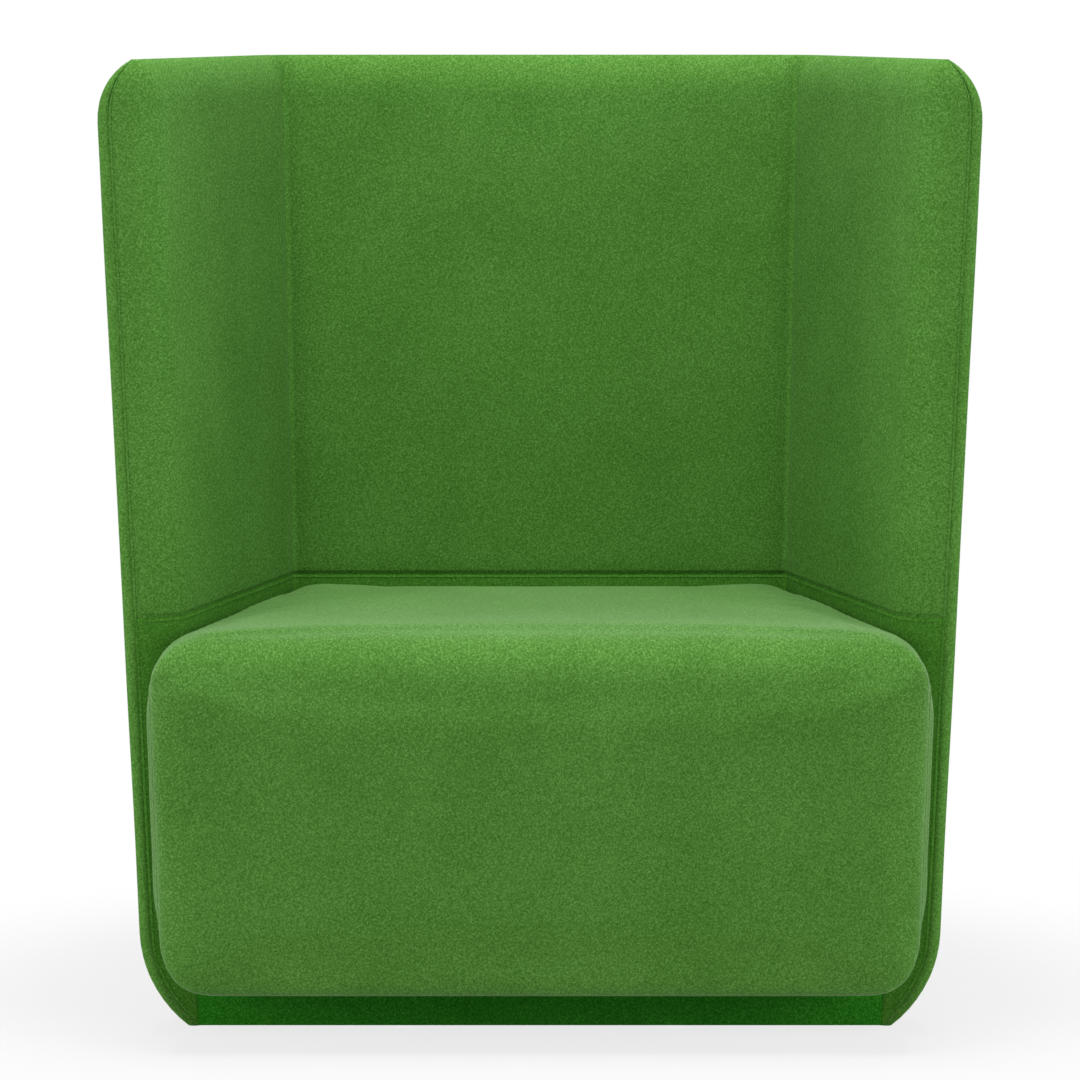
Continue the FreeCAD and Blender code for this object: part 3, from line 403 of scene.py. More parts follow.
def half_section(z):
    """Plan points of one half of the wall: from the middle of its outer face, round
    the rear corner and the wing's front, to the middle of its inner face."""
    outer, inner = outer_inset(z), edge_inset(z)
    y_front = FRONT_Y + inner
    y_back = BACK_HALF_DEPTH + side_line(z) - SHARP_HALF - outer
    y_inner = -BACK_HALF_DEPTH + SEAT_DEPTH + (z - SEAT_TOP) * RECLINE + inner
    a = (wing_x(z, outer, y_front), y_front)
    b = (wing_x(z, outer, y_back), y_back)
    c = (wing_x(z, WING - inner, y_inner), y_inner)
    d = (wing_x(z, WING - inner, y_front), y_front)
    front = a[0] - d[0]
    outer_radius = min(FRONT_OUTER_ROUND,
                       front * 0.25 / math.tan(math.radians(45) + SPLAY / 2))
    inner_radius = min(FRONT_INNER_ROUND - inner,
                       front * 0.6 / math.tan(math.radians(45) - SPLAY / 2))
    blend = min(1.0, max(0.0, (SEAT_FLOOR + FRONT_BLEND - z) / FRONT_BLEND))
    inner_radius = inner_radius * (1 - blend) + COVER * blend
    corner = REAR_ROUND - outer
    crease = max(CREASE_ROUND + inner, corner - CREASE_EASE * (WING - outer - inner))
    corner_b = arc_points(b, (0, y_back), a, corner, CORNER_RUN)
    corner_a = arc_points(a, b, d, outer_radius, EDGE_RUN)
    corner_d = arc_points(d, a, c, inner_radius, EDGE_RUN)
    corner_c = arc_points(c, d, (0, y_inner), crease, CORNER_RUN)
    share = max(0.0, min(1.0, (z - WIDE_Z) / (HEIGHT - WIDE_Z)))
    room = front - outer_radius * math.tan(math.radians(45) + SPLAY / 2)
    border = BORDER_END + (BORDER - BORDER_END) * (1 - share ** 2)
    seam_reach = border / math.cos(SPLAY)
    seam_x = a[0] - seam_reach
    seam_x = min(seam_x, corner_a[-1][0] - 0.3)
    seam_x = max(seam_x, corner_d[0][0] + 0.3)
    seam = (seam_x, y_front)
    points = run((0, y_back), corner_b[0], BACK_RUN)
    points += corner_b[:-1]
    points += run(corner_b[-1], corner_a[0], WING_RUN)
    points += corner_a[:-1]
    points += run(corner_a[-1], seam, FACE_RUN, seam_end=True)
    border = len(points)
    points += run(seam, corner_d[0], FACE_RUN, seam_start=True)
    points += corner_d[:-1]
    points += run(corner_d[-1], corner_c[0], WING_RUN)
    points += corner_c[:-1]
    crease_middle = len(points) - CORNER_RUN + 1 + CORNER_RUN // 2
    points += run(corner_c[-1], (0, y_inner), BACK_RUN)
    points.append(np.array((0, y_inner)))
    return points, border, crease_middle


def section_heights():
    """Heights of the sections, closer together at the rounds and beside the seam."""
    low_turn = math.asin((TOE_Z - FOOT) / BOTTOM_ROUND)
    heights = [TOE_Z - BOTTOM_ROUND * math.sin(LEAN + (low_turn - LEAN) * i / LOW_STEPS)
               for i in range(LOW_STEPS, -1, -1)]
    heights += [HEIGHT - TOP_ROLL + TOP_ROLL * math.sin(math.radians(90 * i / ROLL_STEPS))
                for i in range(ROLL_STEPS + 1)]
    heights += [SEAM_Z + side * d for d in NEAR_SEAM for side in (-1, 1)]
    heights += [SEAM_Z + side * d for d in (10, 15) for side in (-1, 1)]
    heights += list(np.arange(heights[LOW_STEPS], SEAM_Z - 16, LEVEL_PITCH))
    heights += list(np.arange(SEAM_Z + 16, HEIGHT - TOP_ROLL, LEVEL_PITCH))
    heights += [SEAT_FLOOR + d for d in (0, 3, 7, 10, 14)]
    kept = []
    for z in sorted(heights):
        if not kept or z - kept[-1] > 0.3:
            kept.append(z)
    return kept


LEVELS = section_heights()
SECTIONS = []
for z in LEVELS:
    plan, BORDER_INDEX, CREASE_INDEX = half_section(z)
    SECTIONS.append([(p[0], p[1], z) for p in plan])
WALL = np.array(SECTIONS)
LEVEL_SEAM = min(range(len(LEVELS)), key=lambda j: abs(LEVELS[j] - SEAM_Z))
LAST = WALL.shape[1] - 1


def grid_normals(grid):
    """Outward normals of the half wall."""
    along_u = np.gradient(grid, axis=1)
    along_z = np.gradient(grid, axis=0)
    normal = np.cross(along_z, along_u)
    length = np.linalg.norm(normal, axis=2, keepdims=True)
    length[length == 0] = 1
    return normal / length


NORMALS = grid_normals(WALL)
if NORMALS[len(LEVELS) // 2, 2, 1] < 0:
    NORMALS = -NORMALS


def travel(line):
    steps = np.linalg.norm(np.diff(line, axis=0), axis=1)
    return np.concatenate([[0], np.cumsum(steps)])


def soft_wave(x, y, z, seed):
    """A slow, shallow unevenness of stuffed fabric, from -1 to 1."""
    a = math.sin(0.0131 * x + 0.0072 * z + seed) * math.cos(0.0093 * z - 0.0058 * y + 2 * seed)
    b = math.sin(0.0241 * z + 0.0177 * y + 3 * seed) * math.cos(0.0203 * x + seed)
    return 0.65 * a + 0.35 * b


def dip(distance, depth, reach):
    """A smooth hollow at a seam, depth deep and about reach wide on each side."""
    return depth * math.exp(-(distance / reach) ** 2)


def sink_at(i, z, distance):
    """How far the cover lies inside the solids' face, at column i of a section."""
    from_border = abs(distance[i] - distance[BORDER_INDEX])
    sink = dip(from_border, 0.9, 1.6)
    sink += dip(from_border, 0.6, 9.0)
    if i > BORDER_INDEX:
        from_level = abs(z - SEAM_Z)
        pull = 1.0 if i > CREASE_INDEX else 0.55
        sink = max(sink, pull * (dip(from_level, 1.9, 2.2) + dip(from_level, 1.0, 12.0)))
        from_crease = abs(distance[i] - distance[CREASE_INDEX])
        sink += dip(from_crease, 3.2, 6.0)
        sink -= 0.7 * (1 - dip(from_crease, 1.0, 45.0))
    return sink


# Depth of the unevenness, and the height over which it dies out at the top and bottom
WAVE_DEPTH, WAVE_CALM = 0.45, 60
SOFT = WALL.copy()
for j, z in enumerate(LEVELS[:-1]):
    distance = travel(WALL[j])
    for i in range(LAST + 1):
        x, y = WALL[j, i, :2]
        calm = min(1.0, (HEIGHT - z) / WAVE_CALM, (z - FOOT) / WAVE_CALM)
        wave = soft_wave(x, y, z, 1.0 if i < BORDER_INDEX else 2.2)
        sink = sink_at(i, z, distance) + WAVE_DEPTH * calm * wave
        if i in (0, LAST):
            NORMALS[j, i, 0] = 0
        SOFT[j, i] -= NORMALS[j, i] * sink

# Faces of the half wall by panel; the top's flat strip joins outer and inner points
PANELS = {"outer": [], "lower": [], "wing": [], "back": []}


def corner_number(j, i):
    return j * (LAST + 1) + i


for j in range(len(LEVELS) - 1):
    for i in range(LAST):
        face = [corner_number(j, i), corner_number(j, i + 1),
                corner_number(j + 1, i + 1), corner_number(j + 1, i)]
        if i < BORDER_INDEX:
            PANELS["outer"].append(face)
        elif j < LEVEL_SEAM:
            PANELS["lower"].append(face)
        elif i < CREASE_INDEX:
            PANELS["wing"].append(face)
        else:
            PANELS["back"].append(face)
top = len(LEVELS) - 1
for i in range(BORDER_INDEX):
    across = LAST - i
    face = [corner_number(top, i), corner_number(top, i + 1),
            corner_number(top, across - 1), corner_number(top, across)]
    if across - 1 == i + 1:
        face = face[:3]
    PANELS["wing" if across <= CREASE_INDEX else "back"].append(face)


def panel(name, keys, sides, material):
    """A panel of the shell, from the half wall's faces on one side or on both."""
    flat = SOFT.reshape(-1, 3) * MM
    points, faces = [], []
    for side in sides:
        numbers = {}
        for face in keys:
            for number in face:
                if number not in numbers:
                    numbers[number] = len(points)
                    x, y, z = flat[number]
                    points.append((side * x, y, z))
        made = [[numbers[number] for number in face] for face in keys]
        faces += [face[::-1] if side < 0 else face for face in made]
    piece = add_mesh(name, points, faces, material)
    face_outward(piece)
    return finished(piece)


# Beside and under the seat's floor the base fills the shell, and no cover shows
kept_lower = []
for face in PANELS["lower"]:
    heights = [LEVELS[number // (LAST + 1)] for number in face]
    columns = [number % (LAST + 1) for number in face]
    behind = min(columns) > BORDER_INDEX + FACE_RUN + EDGE_RUN + 6
    if not behind or max(heights) > SEAT_FLOOR + 0.1:
        kept_lower.append(face)

outer_piece = panel("shell_outer_upholstery", PANELS["outer"], (1, -1), FELT)
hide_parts("outer_cover", "outer_padding", "top_edge_foam")
back_piece = panel("back_upholstery", PANELS["back"], (1, -1), FELT)
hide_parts("back_cover", "back_foam")
for side_name, side in (("left", 1), ("right", -1)):
    wing_piece = panel(f"{side_name}_wing_upholstery", PANELS["wing"], (side,), FELT)
    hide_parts(f"{side_name}_wing_cover", f"{side_name}_wing_foam")
# The lower inner panels take the darker felt copy, painted shade below the level seam
lower_piece = panel("lower_inner_upholstery", kept_lower, (1, -1), FELT_PAINTED_SHADE_LOW)
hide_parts("lower_inner_cover")

# Hem of the outer cover, folded under the shell
# Its section, as (distance inwards, drop) from the shell's lower rim
HEM = [(0.0, 0.0), (1.2, 0.5), (10.0, 0.7), (20.0, 0.7)]
hem_points, hem_faces = [], []
rim = SOFT[0, :BORDER_INDEX + 1]
for x, y, z in rim:
    outward = np.array([x, y]) / max(np.linalg.norm((x, y)), 1e-6)
    for depth, drop in HEM:
        px = x - outward[0] * depth
        py = max(y - outward[1] * depth, FRONT_Y + 0.5)
        hem_points.append((px * MM, py * MM, (z - drop) * MM))
for index in range(len(rim) - 1):
    for k in range(len(HEM) - 1):
        a = index * len(HEM) + k
        hem_faces.append([a, a + 1, a + len(HEM) + 1, a + len(HEM)])
count = len(hem_points)
hem_points += [(-x, y, z) for x, y, z in hem_points]
hem_faces += [[n + count for n in face[::-1]] for face in hem_faces]
# The hem takes the darker felt copy too, painted shade under the shell
hem = add_mesh("shell_hem", hem_points, hem_faces, FELT_PAINTED_SHADE_LOW)
face_outward(hem)
finished(hem)


# Plinth upholstery, a tight strip between the wings, in a darker felt copy that is painted shade
# from the seat's overhang

def bar(name, x_half, y_front, z_low, z_high, bulge, material):
    """A strip across the front that swells by bulge between its edges."""
    columns = np.linspace(-x_half, x_half, 60)
    rows = np.linspace(0, 1, 9)
    points, faces = [], []
    for x in columns:
        for t in rows:
            crown = bulge * (1 - (2 * t - 1) ** 4)
            points.append((x * MM, (y_front + bulge - crown) * MM,
                           (z_low + (z_high - z_low) * t) * MM))
    for c in range(len(columns) - 1):
        for r in range(len(rows) - 1):
            a = c * len(rows) + r
            faces.append([a, a + 1, a + len(rows) + 1, a + len(rows)])
    return add_mesh(name, points, faces, material)


PLINTH_HALF = wing_x(FOOT, WING, FRONT_Y) + 1.5
plinth = bar("plinth_upholstery", PLINTH_HALF, FRONT_Y + 0.3, FOOT, SEAT_FLOOR, 0.8,
             FELT_PAINTED_SHADE_PLINTH)
finished(plinth)
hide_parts("plinth_cover")


# Seat block

def rounded_outline(points, radii, count=10):
    outline = []
    for index, radius in enumerate(radii):
        corner = points[index]
        before, after = points[index - 1], points[(index + 1) % len(points)]
        if radius <= 0:
            outline.append(np.array(corner, float))
        else:
            outline += arc_points(corner, before, after, radius, count)
    return outline


def seat_half(z):
    return SEAT_HALF - (SEAT_TOP - z) * math.tan(SEAT_SIDE_LEAN)


def prism(name, low_outline, high_outline, low, high, swap):
    """A closed prism between two outlines; swap turns (u, v, w) into (x, y, z)."""
    points = [swap(p[0], p[1], low) for p in low_outline]
    points += [swap(p[0], p[1], high) for p in high_outline]
    n = len(low_outline)
    faces = [list(range(n))[::-1], list(range(n, 2 * n))]
    faces += [[i, (i + 1) % n, n + (i + 1) % n, n + i] for i in range(n)]
    piece = add_mesh(name, np.array(points) * MM, faces, FELT)
    face_outward(piece)
    return piece


def both_sides(right):
    return right + [(-x, v) for x, v in reversed(right)]


# The cover starts this far inside the seat's outline, before it swells
SEAT_INSET = 2.5


def seat_from_front():
    inset = SEAT_INSET
    side_z = SEAT_TOP - SEAT_CROWN - inset
    crown_z = SEAT_TOP - inset + 0.5
    shoulder = (seat_half(side_z) - inset) / 2
    right = [(seat_half(SEAT_FLOOR) - inset, SEAT_FLOOR + inset),
             (seat_half(side_z) - inset, side_z),
             (shoulder, side_z + 0.75 * (crown_z - side_z))]
    points = right + [(0, crown_z)] + [(-x, v) for x, v in reversed(right)]
    radii = [SEAT_BOTTOM_ROUND - inset, SEAT_TOP_ROUND - inset, shoulder]
    outline = rounded_outline(points, radii + [0] + radii[::-1], 14)
    return prism("seat_a", outline, outline, -BACK_HALF_DEPTH - 30, BACK_HALF_DEPTH,
                 lambda u, v, w: (u, w, v))


def seat_from_side():
    y_front, y_back = SEAT_FRONT_Y + SEAT_INSET, BACK_HALF_DEPTH
    points = [(y_front, SEAT_FLOOR + SEAT_INSET), (y_back, SEAT_FLOOR + SEAT_INSET),
              (y_back, SEAT_TOP - SEAT_FALL - SEAT_INSET), (y_front, SEAT_TOP - SEAT_INSET)]
    radii = [SEAT_TOE_ROUND - SEAT_INSET, 0, 0, SEAT_FRONT_ROUND - SEAT_INSET]
    outline = rounded_outline(points, radii, 14)
    return prism("seat_b", outline, outline, -500, 500, lambda u, v, w: (w, u, v))


def seat_plan(z):
    inset = SEAT_INSET
    y_step = FRONT_Y - SEAT_GAP - inset
    y_back = -BACK_HALF_DEPTH + SEAT_DEPTH + (z - SEAT_TOP) * RECLINE - SEAT_GAP - inset
    between = WING + SEAT_GAP + inset
    right = [(seat_half(z) - inset, SEAT_FRONT_Y + inset), (seat_half(z) - inset, y_step),
             (wing_x(z, between, y_step), y_step), (wing_x(z, between, y_back), y_back)]
    step = right[1][0] - right[2][0]
    small = min(FRONT_OUTER_ROUND - inset, 0.3 * step)
    neck_room = 0.97 * (step - small) * math.tan(math.radians(45) + SPLAY / 2)
    neck = min(FRONT_INNER_ROUND + SEAT_GAP + inset, neck_room)
    radii = [SEAT_SIDE_ROUND - inset, small, neck, small]
    return rounded_outline(both_sides(right), radii + radii[::-1], 12)


def seat_from_above():
    return prism("seat_c", seat_plan(SEAT_FLOOR - 20), seat_plan(SEAT_TOP + 20),
                 SEAT_FLOOR - 20, SEAT_TOP + 20, lambda u, v, w: (u, v, w))


def apply_modifiers(piece):
    graph = bpy.context.evaluated_depsgraph_get()
    mesh = bpy.data.meshes.new_from_object(piece.evaluated_get(graph))
    piece.modifiers.clear()
    old = piece.data
    piece.data = mesh
    bpy.data.meshes.remove(old)


seat = seat_from_above()
for tool in (seat_from_front(), seat_from_side()):
    cut = seat.modifiers.new("cut", "BOOLEAN")
    cut.operation = "INTERSECT"
    cut.solver = "EXACT"
    cut.object = tool
    apply_modifiers(seat)
    bpy.data.objects.remove(tool)
seat.name = "seat_upholstery"
remesh = seat.modifiers.new("remesh", "REMESH")
remesh.mode = "VOXEL"
remesh.voxel_size = 0.0065
relax = seat.modifiers.new("relax", "SMOOTH")
relax.factor = 0.5
relax.iterations = 4
apply_modifiers(seat)


def inflate(piece, cap):
    """Lets air pressure swell the cover, no point further than cap, in metres. The
    modifier is taken off again, and the mesh keeps the swollen form."""
    start = np.array([v.co for v in piece.data.vertices])
    cloth = piece.modifiers.new("swell", "CLOTH")
    settings = cloth.settings
    settings.quality = 4
    settings.mass = 0.4
    settings.tension_stiffness = 30
    settings.compression_stiffness = 30
    settings.shear_stiffness = 10
    settings.bending_stiffness = 3
    settings.use_pressure = True
    settings.uniform_pressure_force = 4
    settings.effector_weights.gravity = 0
    cloth.collision_settings.use_collision = False
    scene = bpy.context.scene
    for number in range(1, 21):
        scene.frame_set(number)
    graph = bpy.context.evaluated_depsgraph_get()
    swollen = piece.evaluated_get(graph).to_mesh()
    moved = np.array([v.co for v in swollen.vertices]) - start
    piece.modifiers.clear()
    length = np.linalg.norm(moved, axis=1, keepdims=True)
    moved *= np.minimum(1, cap / np.maximum(length, 1e-9))
    piece.data.vertices.foreach_set("co", (start + moved).ravel())
    piece.data.update()
    scene.frame_set(1)


inflate(seat, 0.004)


def fit_box(piece, low, high):
    """Sets the piece's own box, so that the swollen cover keeps the seat's size."""
    points = np.array([v.co for v in piece.data.vertices])
    start, end = points.min(axis=0), points.max(axis=0)
    low, high = np.array(low) * MM, np.array(high) * MM
    points = low + (points - start) * (high - low) / (end - start)
    piece.data.vertices.foreach_set("co", points.ravel())
    piece.data.update()


# The underside is measured this far behind the front, up to this far round the corners,
# and the change dies out over this depth in front of the wings
PROBE_BEHIND, PROBE_PAST, PROBE_CALM = 25, 40, 40
# Height over the seat's floor past which what was hit isn't the underside
PROBE_LIMIT = 45


def level_bottom(piece, reach):
    """Brings the underside in front of the wings down to the seat's floor, with its round
    corners, and lets the change die out upwards over reach, in mm."""
    tree = BVHTree.FromPolygons([v.co.copy() for v in piece.data.vertices],
                                [p.vertices[:] for p in piece.data.polygons])
    flat = seat_half(SEAT_FLOOR) - SEAT_BOTTOM_ROUND
    points = np.array([v.co for v in piece.data.vertices]) / MM
    for point in points:
        x = min(max(point[0], -flat - PROBE_PAST), flat + PROBE_PAST)
        y = max(point[1], SEAT_FRONT_Y + PROBE_BEHIND)
        hit = tree.ray_cast(Vector((x, y, 0)) * MM, Vector((0, 0, 1)))[0]
        if hit is None or hit.z > (SEAT_FLOOR + PROBE_LIMIT) * MM:
            continue
        under = hit.z / MM
        past = max(0.0, abs(x) - flat)
        centre_z = SEAT_FLOOR + 0.3 + SEAT_BOTTOM_ROUND
        target = centre_z - math.sqrt(SEAT_BOTTOM_ROUND ** 2 - past ** 2)
        fade = min(1.0, max(0.0, 1 - (point[2] - under) / reach))
        fade *= min(1.0, max(0.0, (FRONT_Y - point[1]) / PROBE_CALM))
        point[2] -= (under - target) * fade
    piece.data.vertices.foreach_set("co", (points * MM).ravel())
    piece.data.update()


settle = seat.modifiers.new("settle", "SMOOTH")
settle.factor = 0.5
settle.iterations = 3
fine = seat.modifiers.new("fine", "SUBSURF")
fine.levels = 1
fine.render_levels = 1
apply_modifiers(seat)
seat_low, seat_high = (np.array(corner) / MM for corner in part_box("seat_cover"))
fit_box(seat, seat_low + (0, 0, 0.3), seat_high + (0, -0.5, 0.5))
level_bottom(seat, 110)
seat.data.materials.clear()
seat.data.materials.append(FELT_SEAT)
for polygon in seat.data.polygons:
    polygon.use_smooth = True
finished(seat)
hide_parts("seat_cover", "seat_foam", "seat_topper", "seat_front_foam",
            "seat_left_foam", "seat_right_foam", "seat_insulator", "seat_long_webbing",
            "seat_cross_webbing", "seat_cloth")


# Seams and stitches

def thread_row(name, path, length, gap, radius, material):
    """Single stitches along a path of (point, normal), as short rounded threads of
    four rings of six points."""
    points = np.array([p for p, n in path])
    normals = np.array([n for p, n in path])
    along = travel(points)
    verts, faces = [], []
    place_at = gap
    while place_at + length < along[-1]:
        ends = []
        for d in np.linspace(place_at, place_at + length, 4):
            p = np.array([np.interp(d, along, points[:, k]) for k in range(3)])
            n = np.array([np.interp(d, along, normals[:, k]) for k in range(3)])
            ends.append((p, n / max(np.linalg.norm(n), 1e-9)))
        direction = ends[-1][0] - ends[0][0]
        direction = direction / max(np.linalg.norm(direction), 1e-9)
        base = len(verts)
        for step, (p, n) in enumerate(ends):
            rise = radius * (0.1 if step in (0, 3) else 0.9)
            side = np.cross(direction, n)
            for k in range(6):
                angle = math.pi * 2 * k / 6
                girth = radius * (0.55 if step in (0, 3) else 1.0)
                verts.append((p + n * rise + girth * (math.cos(angle) * side
                              + math.sin(angle) * n)) * MM)
        for step in range(3):
            for k in range(6):
                a = base + step * 6 + k
                b = base + step * 6 + (k + 1) % 6
                faces.append([a, b, b + 6, a + 6])
        faces.append([base + k for k in range(6)][::-1])
        faces.append([base + 18 + k for k in range(6)])
        place_at += length + gap
    piece = add_mesh(name, verts, faces, material)
    return finished(piece)


def wall_line(pairs, side=1):
    """A path over the shell from (level, column) pairs, with the normals there."""
    path = []
    for j, i in pairs:
        p, n = SOFT[j, i].copy(), NORMALS[j, i].copy()
        p[0] *= side
        n[0] *= side
        path.append((p, n))
    return path


STITCH, STITCH_GAP, THREAD_RADIUS = 3.4, 0.9, 0.42
# Distance from the level seam to its rows of stitches
ROW_OFFSET = 3.5
high_row = next(j for j in range(LEVEL_SEAM, len(LEVELS)) if LEVELS[j] > SEAM_Z + ROW_OFFSET)
low_row = next(j for j in range(LEVEL_SEAM, 0, -1) if LEVELS[j] < SEAM_Z - ROW_OFFSET)
for row_name, row in (("upper", high_row), ("lower", low_row)):
    half = [(row, i) for i in range(BORDER_INDEX + 6, LAST + 1)]
    whole = wall_line(half) + wall_line(half[::-1], -1)[1:]
    thread_row(f"level_seam_{row_name}_stitches", whole, STITCH, STITCH_GAP, THREAD_RADIUS,
               THREAD)
border_column = BORDER_INDEX + 4
for side_name, side in (("left", 1), ("right", -1)):
    column = [(j, border_column) for j in range(2, len(LEVELS) - 3)]
    thread_row(f"{side_name}_border_stitches", wall_line(column, side), STITCH, STITCH_GAP,
               THREAD_RADIUS, THREAD)

seat_tree = BVHTree.FromObject(seat, bpy.context.evaluated_depsgraph_get())


def on_seat(x, y, z, direction):
    hit, normal, _, _ = seat_tree.ray_cast(Vector((x * MM, y * MM, z * MM)),
                                           Vector(direction))
    return hit, normal


def seat_side_path(side):
    """Edge of the seat's side panel: forward along its top, down its front and back.
    The edge lies just past the rounds of the seat's front, top and bottom."""
    y_rear, y_edge = FRONT_Y - 14, SEAT_FRONT_Y + SEAT_SIDE_ROUND + 3
    z_high, z_low = SEAT_TOP - SEAT_TOP_ROUND - 7, SEAT_FLOOR + SEAT_BOTTOM_ROUND + 3
    turn, count = 22, 10
    corners = [(y_rear, z_high), (y_edge, z_high), (y_edge, z_low), (y_rear, z_low)]
    outline = [np.array(corners[0])]
    outline += arc_points(corners[1], corners[0], corners[2], turn, count)
    outline += arc_points(corners[2], corners[1], corners[3], turn, count)
    outline.append(np.array(corners[3]))
    line = []
    for start, end in zip(outline[:-1], outline[1:]):
        steps = max(1, int(np.linalg.norm(end - start) / 6))
        line += [start + (end - start) * t / steps for t in range(steps)]
    line.append(outline[-1])
    path = []
    for y, z in line:
        hit, normal = on_seat(side * 600, y, z, (-side, 0, 0))
        if hit is not None:
            path.append((np.array(hit) / MM, np.array(normal)))
    return path


def tube(name, path, radius, sink, material):
    """A thin raised seam, half sunk in the surface."""
    points = np.array([p - n * sink for p, n in path])
    normals = np.array([n for p, n in path])
    verts, faces = [], []
    for index, p in enumerate(points):
        ahead = points[min(index + 1, len(points) - 1)] - points[max(index - 1, 0)]
        ahead = ahead / max(np.linalg.norm(ahead), 1e-9)
        side = np.cross(ahead, normals[index])
        side = side / max(np.linalg.norm(side), 1e-9)
        up = np.cross(side, ahead)
        for k in range(8):
            angle = math.pi * 2 * k / 8
            verts.append((p + radius * (math.cos(angle) * side + math.sin(angle) * up)) * MM)
    for index in range(len(points) - 1):
        for k in range(8):
            a, b = index * 8 + k, index * 8 + (k + 1) % 8
            faces.append([a, b, b + 8, a + 8])
    piece = add_mesh(name, verts, faces, material)
    face_outward(piece)
    return finished(piece)


for side_name, side in (("left", 1), ("right", -1)):
    path = seat_side_path(side)
    tube(f"seat_{side_name}_seam", path, 1.3, 0.5, FELT_SEAT)

# Dust cloth under the base, with its staples
# Its edge lies inside the shell's rim, and its rings close in on the middle of the base
DUST_MARGIN, DUST_FRONT, DUST_Z, MIDDLE_Y = 14.0, 2.5, 9.0, 10
base_plan = []
for x, y in SOFT[0, :BORDER_INDEX + 1, :2]:
    keep = max(0.0, 1 - DUST_MARGIN / max(math.hypot(x, y), 1e-6))
    base_plan.append((x * keep, max(y * keep, FRONT_Y + DUST_FRONT)))
outline = base_plan + [(-x, y) for x, y in reversed(base_plan[1:])]
rings = 14
points, faces = [], []
for ring in range(rings + 1):
    share = 1 - ring / rings * 0.96
    for x, y in outline:
        px, py = x * share, MIDDLE_Y + (y - MIDDLE_Y) * share
        sag = 0.35 * math.sin(math.pi * ring / rings) + 0.08 * math.sin(px * 0.05)
        points.append((px * MM, py * MM, (DUST_Z - sag) * MM))
n = len(outline)
for ring in range(rings):
    for k in range(n):
        a, b = ring * n + k, ring * n + (k + 1) % n
        faces.append([a, b, b + n, a + n])
faces.append([rings * n + k for k in range(n)])
dust = add_mesh("base_dust_cloth", points, faces, BLACK_CLOTH)
face_outward(dust)
finished(dust)
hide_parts("base_cloth")

# Staples: half their length, their spacing, and their section as (across, height)
STAPLE_HALF, STAPLE_PITCH = 4.8, 26
STAPLE_SECTION = [(-0.5, 9.2), (-0.35, 8.55), (0.35, 8.55), (0.5, 9.2)]
random.seed(7)
staple_points, staple_faces = [], []
loop = np.array([(x * 0.985, MIDDLE_Y + (y - MIDDLE_Y) * 0.985)
                 for x, y in outline + outline[:1]])
around = travel(loop)
at = 12.0
while at < around[-1] - 8:
    middle = np.array([np.interp(at, around, loop[:, k]) for k in range(2)])
    ahead = np.array([np.interp(at + 3, around, loop[:, k]) for k in range(2)]) - middle
    ahead = ahead / max(np.linalg.norm(ahead), 1e-9)
    tilt = random.uniform(-0.25, 0.25)
    ahead = np.array([ahead[0] * math.cos(tilt) - ahead[1] * math.sin(tilt),
                      ahead[0] * math.sin(tilt) + ahead[1] * math.cos(tilt)])
    across = np.array([-ahead[1], ahead[0]])
    base = len(staple_points)
    for end in (-1, 1):
        for u, v in STAPLE_SECTION:
            p = middle + ahead * end * STAPLE_HALF + across * u
            staple_points.append((p[0] * MM, p[1] * MM, v * MM))
    for k in range(3):
        staple_faces.append([base + k, base + k + 1, base + k + 5, base + k + 4])
    staple_faces += [[base, base + 3, base + 2, base + 1],
                     [base + 4, base + 5, base + 6, base + 7]]
    at += STAPLE_PITCH
staples = add_mesh("base_staples", staple_points, staple_faces, SLOT_MATERIALS["zinc_steel"],
                   smooth=False)
finished(staples)


# Floor, light and camera

def seen_share(tree):
    """1 for rays from the camera and for glossy and transmitted rays, 0 for others."""
    path = tree.nodes.new("ShaderNodeLightPath")
    return math_node(tree, "MAXIMUM", path.outputs["Is Camera Ray"],
                     math_node(tree, "MAXIMUM", path.outputs["Is Glossy Ray"],
                               path.outputs["Is Transmission Ray"]))


def floor_material():
    """A pale floor that takes the chair's shadow and fades to white away from it. It
    looks white only to rays that show it, and lights the chair as a pale floor."""
    material = bpy.data.materials.new("floor_white")
    material.use_nodes = True
    tree = material.node_tree
    tree.nodes.clear()
    output = tree.nodes.new("ShaderNodeOutputMaterial")
    diffuse = tree.nodes.new("ShaderNodeBsdfDiffuse")
    grain = noise(tree, 14, 3, place(tree))
    tree.links.new(ramp(tree, grain, [(0.3, (0.56, 0.56, 0.56)), (0.7, (0.59, 0.59, 0.59))]),
                   diffuse.inputs["Color"])
    glow = tree.nodes.new("ShaderNodeEmission")
    glow.inputs["Color"].default_value = (1, 1, 1, 1)
    glow.inputs["Strength"].default_value = 1.0
    middle = tree.nodes.new("ShaderNodeVectorMath")
    middle.operation = "LENGTH"
    tree.links.new(place(tree), middle.inputs[0])
    far = tree.nodes.new("ShaderNodeMapRange")
    far.interpolation_type = "SMOOTHSTEP"
    far.inputs["From Min"].default_value = 0.50
    far.inputs["From Max"].default_value = 0.95
    far.inputs["To Min"].default_value = 0.78
    tree.links.new(middle.outputs["Value"], far.inputs["Value"])
    mix = tree.nodes.new("ShaderNodeMixShader")
    tree.links.new(math_node(tree, "MULTIPLY", far.outputs["Result"], seen_share(tree)),
                   mix.inputs["Fac"])
    tree.links.new(diffuse.outputs["BSDF"], mix.inputs[1])
    tree.links.new(glow.outputs["Emission"], mix.inputs[2])
    tree.links.new(mix.outputs["Shader"], output.inputs["Surface"])
    return material


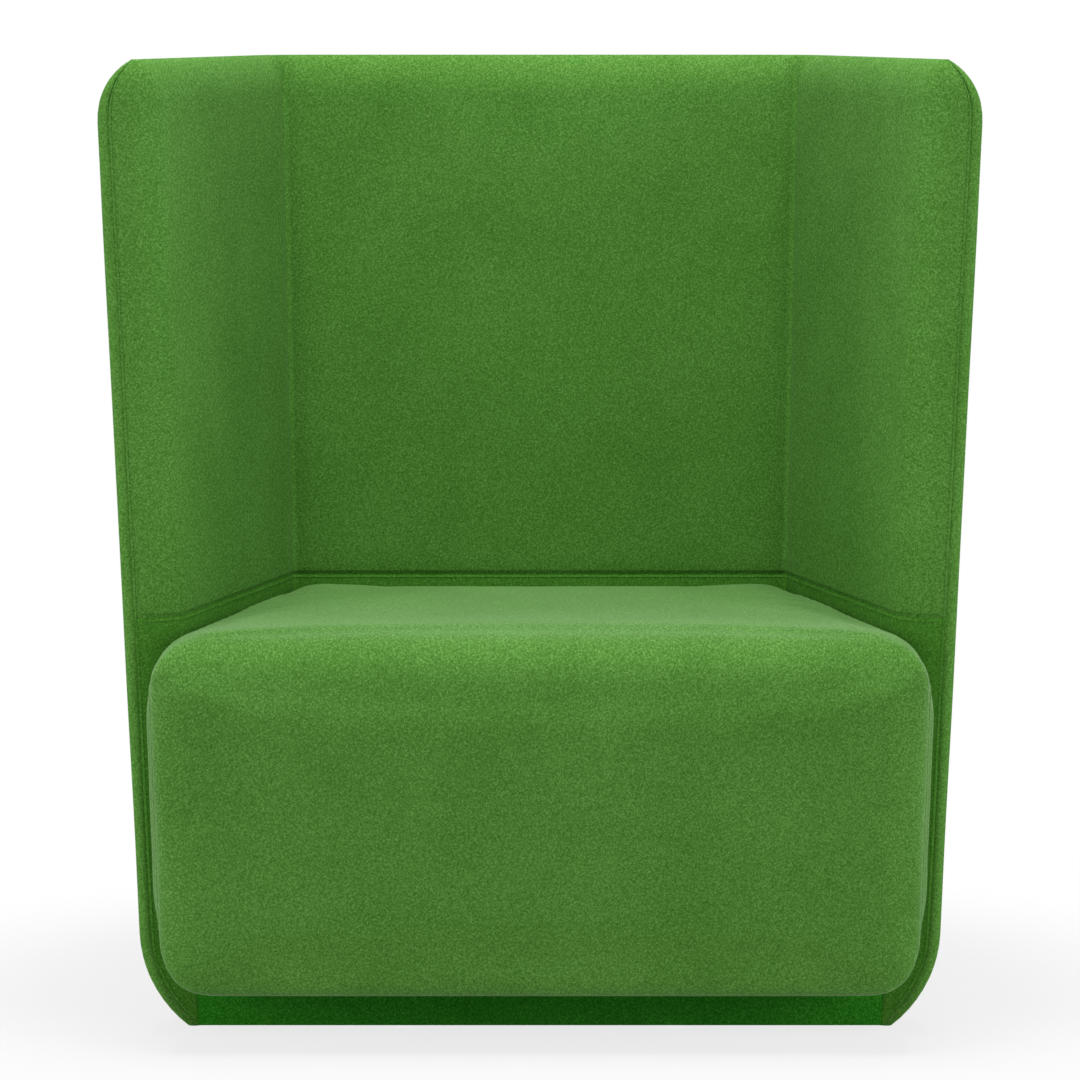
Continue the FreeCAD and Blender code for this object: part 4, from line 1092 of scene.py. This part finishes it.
# A disc just under the glides, in rings of growing radius
FLOOR_RADII, FLOOR_SPOKES, FLOOR_Z = (0.6, 1.5, 4, 12, 40), 48, -0.0003
spokes = np.linspace(0, 2 * math.pi, FLOOR_SPOKES + 1)[:-1]
floor_points = [(math.cos(a) * r, math.sin(a) * r, FLOOR_Z) for r in FLOOR_RADII for a in spokes]
floor_faces = [list(range(FLOOR_SPOKES))]
for ring in range(len(FLOOR_RADII) - 1):
    for k in range(FLOOR_SPOKES):
        a, b = ring * FLOOR_SPOKES + k, ring * FLOOR_SPOKES + (k + 1) % FLOOR_SPOKES
        floor_faces.append([a, a + FLOOR_SPOKES, b + FLOOR_SPOKES, b])
floor = add_mesh("studio_floor", floor_points, floor_faces, floor_material(), smooth=False)

world = bpy.data.worlds.new("studio")
bpy.context.scene.world = world
world.use_nodes = True
tree = world.node_tree
tree.nodes.clear()
world_out = tree.nodes.new("ShaderNodeOutputWorld")
soft = tree.nodes.new("ShaderNodeBackground")
soft.inputs["Color"].default_value = (1, 1, 1, 1)
soft.inputs["Strength"].default_value = 0.38
white = tree.nodes.new("ShaderNodeBackground")
white.inputs["Color"].default_value = (1, 1, 1, 1)
white.inputs["Strength"].default_value = 1.0
mix = tree.nodes.new("ShaderNodeMixShader")
tree.links.new(seen_share(tree), mix.inputs["Fac"])
tree.links.new(soft.outputs["Background"], mix.inputs[1])
tree.links.new(white.outputs["Background"], mix.inputs[2])
tree.links.new(mix.outputs["Shader"], world_out.inputs["Surface"])


def area_light(name, location, target, width, height, power):
    data = bpy.data.lights.new(name, "AREA")
    data.shape = "RECTANGLE"
    data.size, data.size_y = width, height
    data.energy = power
    lamp = bpy.data.objects.new(name, data)
    bpy.context.scene.collection.objects.link(lamp)
    lamp.location = location
    aim = Vector(target) - Vector(location)
    lamp.rotation_euler = aim.to_track_quat("-Z", "Y").to_euler()
    lamp.visible_camera = False
    return lamp


# A soft key over the chair, crossing lights in front and lights square to its sides
area_light("key_above", (0, -0.48, 3.4), (0, -0.05, 0.4), 2.0, 1.6, 104)
for side_name, side in (("left", 1), ("right", -1)):
    area_light(f"cross_{side_name}", (side * 3.2, -3.0, 1.6), (0, 0, 0.55), 1.6, 1.6, 36)
    area_light(f"rim_{side_name}", (side * 3.6, -0.55, 0.8), (0, -0.2, 0.5), 1.2, 1.6, 44)

# The camera of the photograph, found from its outline, seams and corners
CAMERA_PLACE, CAMERA_DIP, CAMERA_LENS = (0, -5.679, 1.120), 6.03, 169.5
camera_data = bpy.data.cameras.new("camera")
camera = bpy.data.objects.new("camera", camera_data)
bpy.context.scene.collection.objects.link(camera)
camera.location = CAMERA_PLACE
camera.rotation_euler = (math.radians(90 - CAMERA_DIP), 0, 0)
camera_data.sensor_width = 36
camera_data.lens = CAMERA_LENS
camera_data.clip_end = 200
bpy.context.scene.camera = camera
bpy.context.scene.view_settings.view_transform = "Standard"
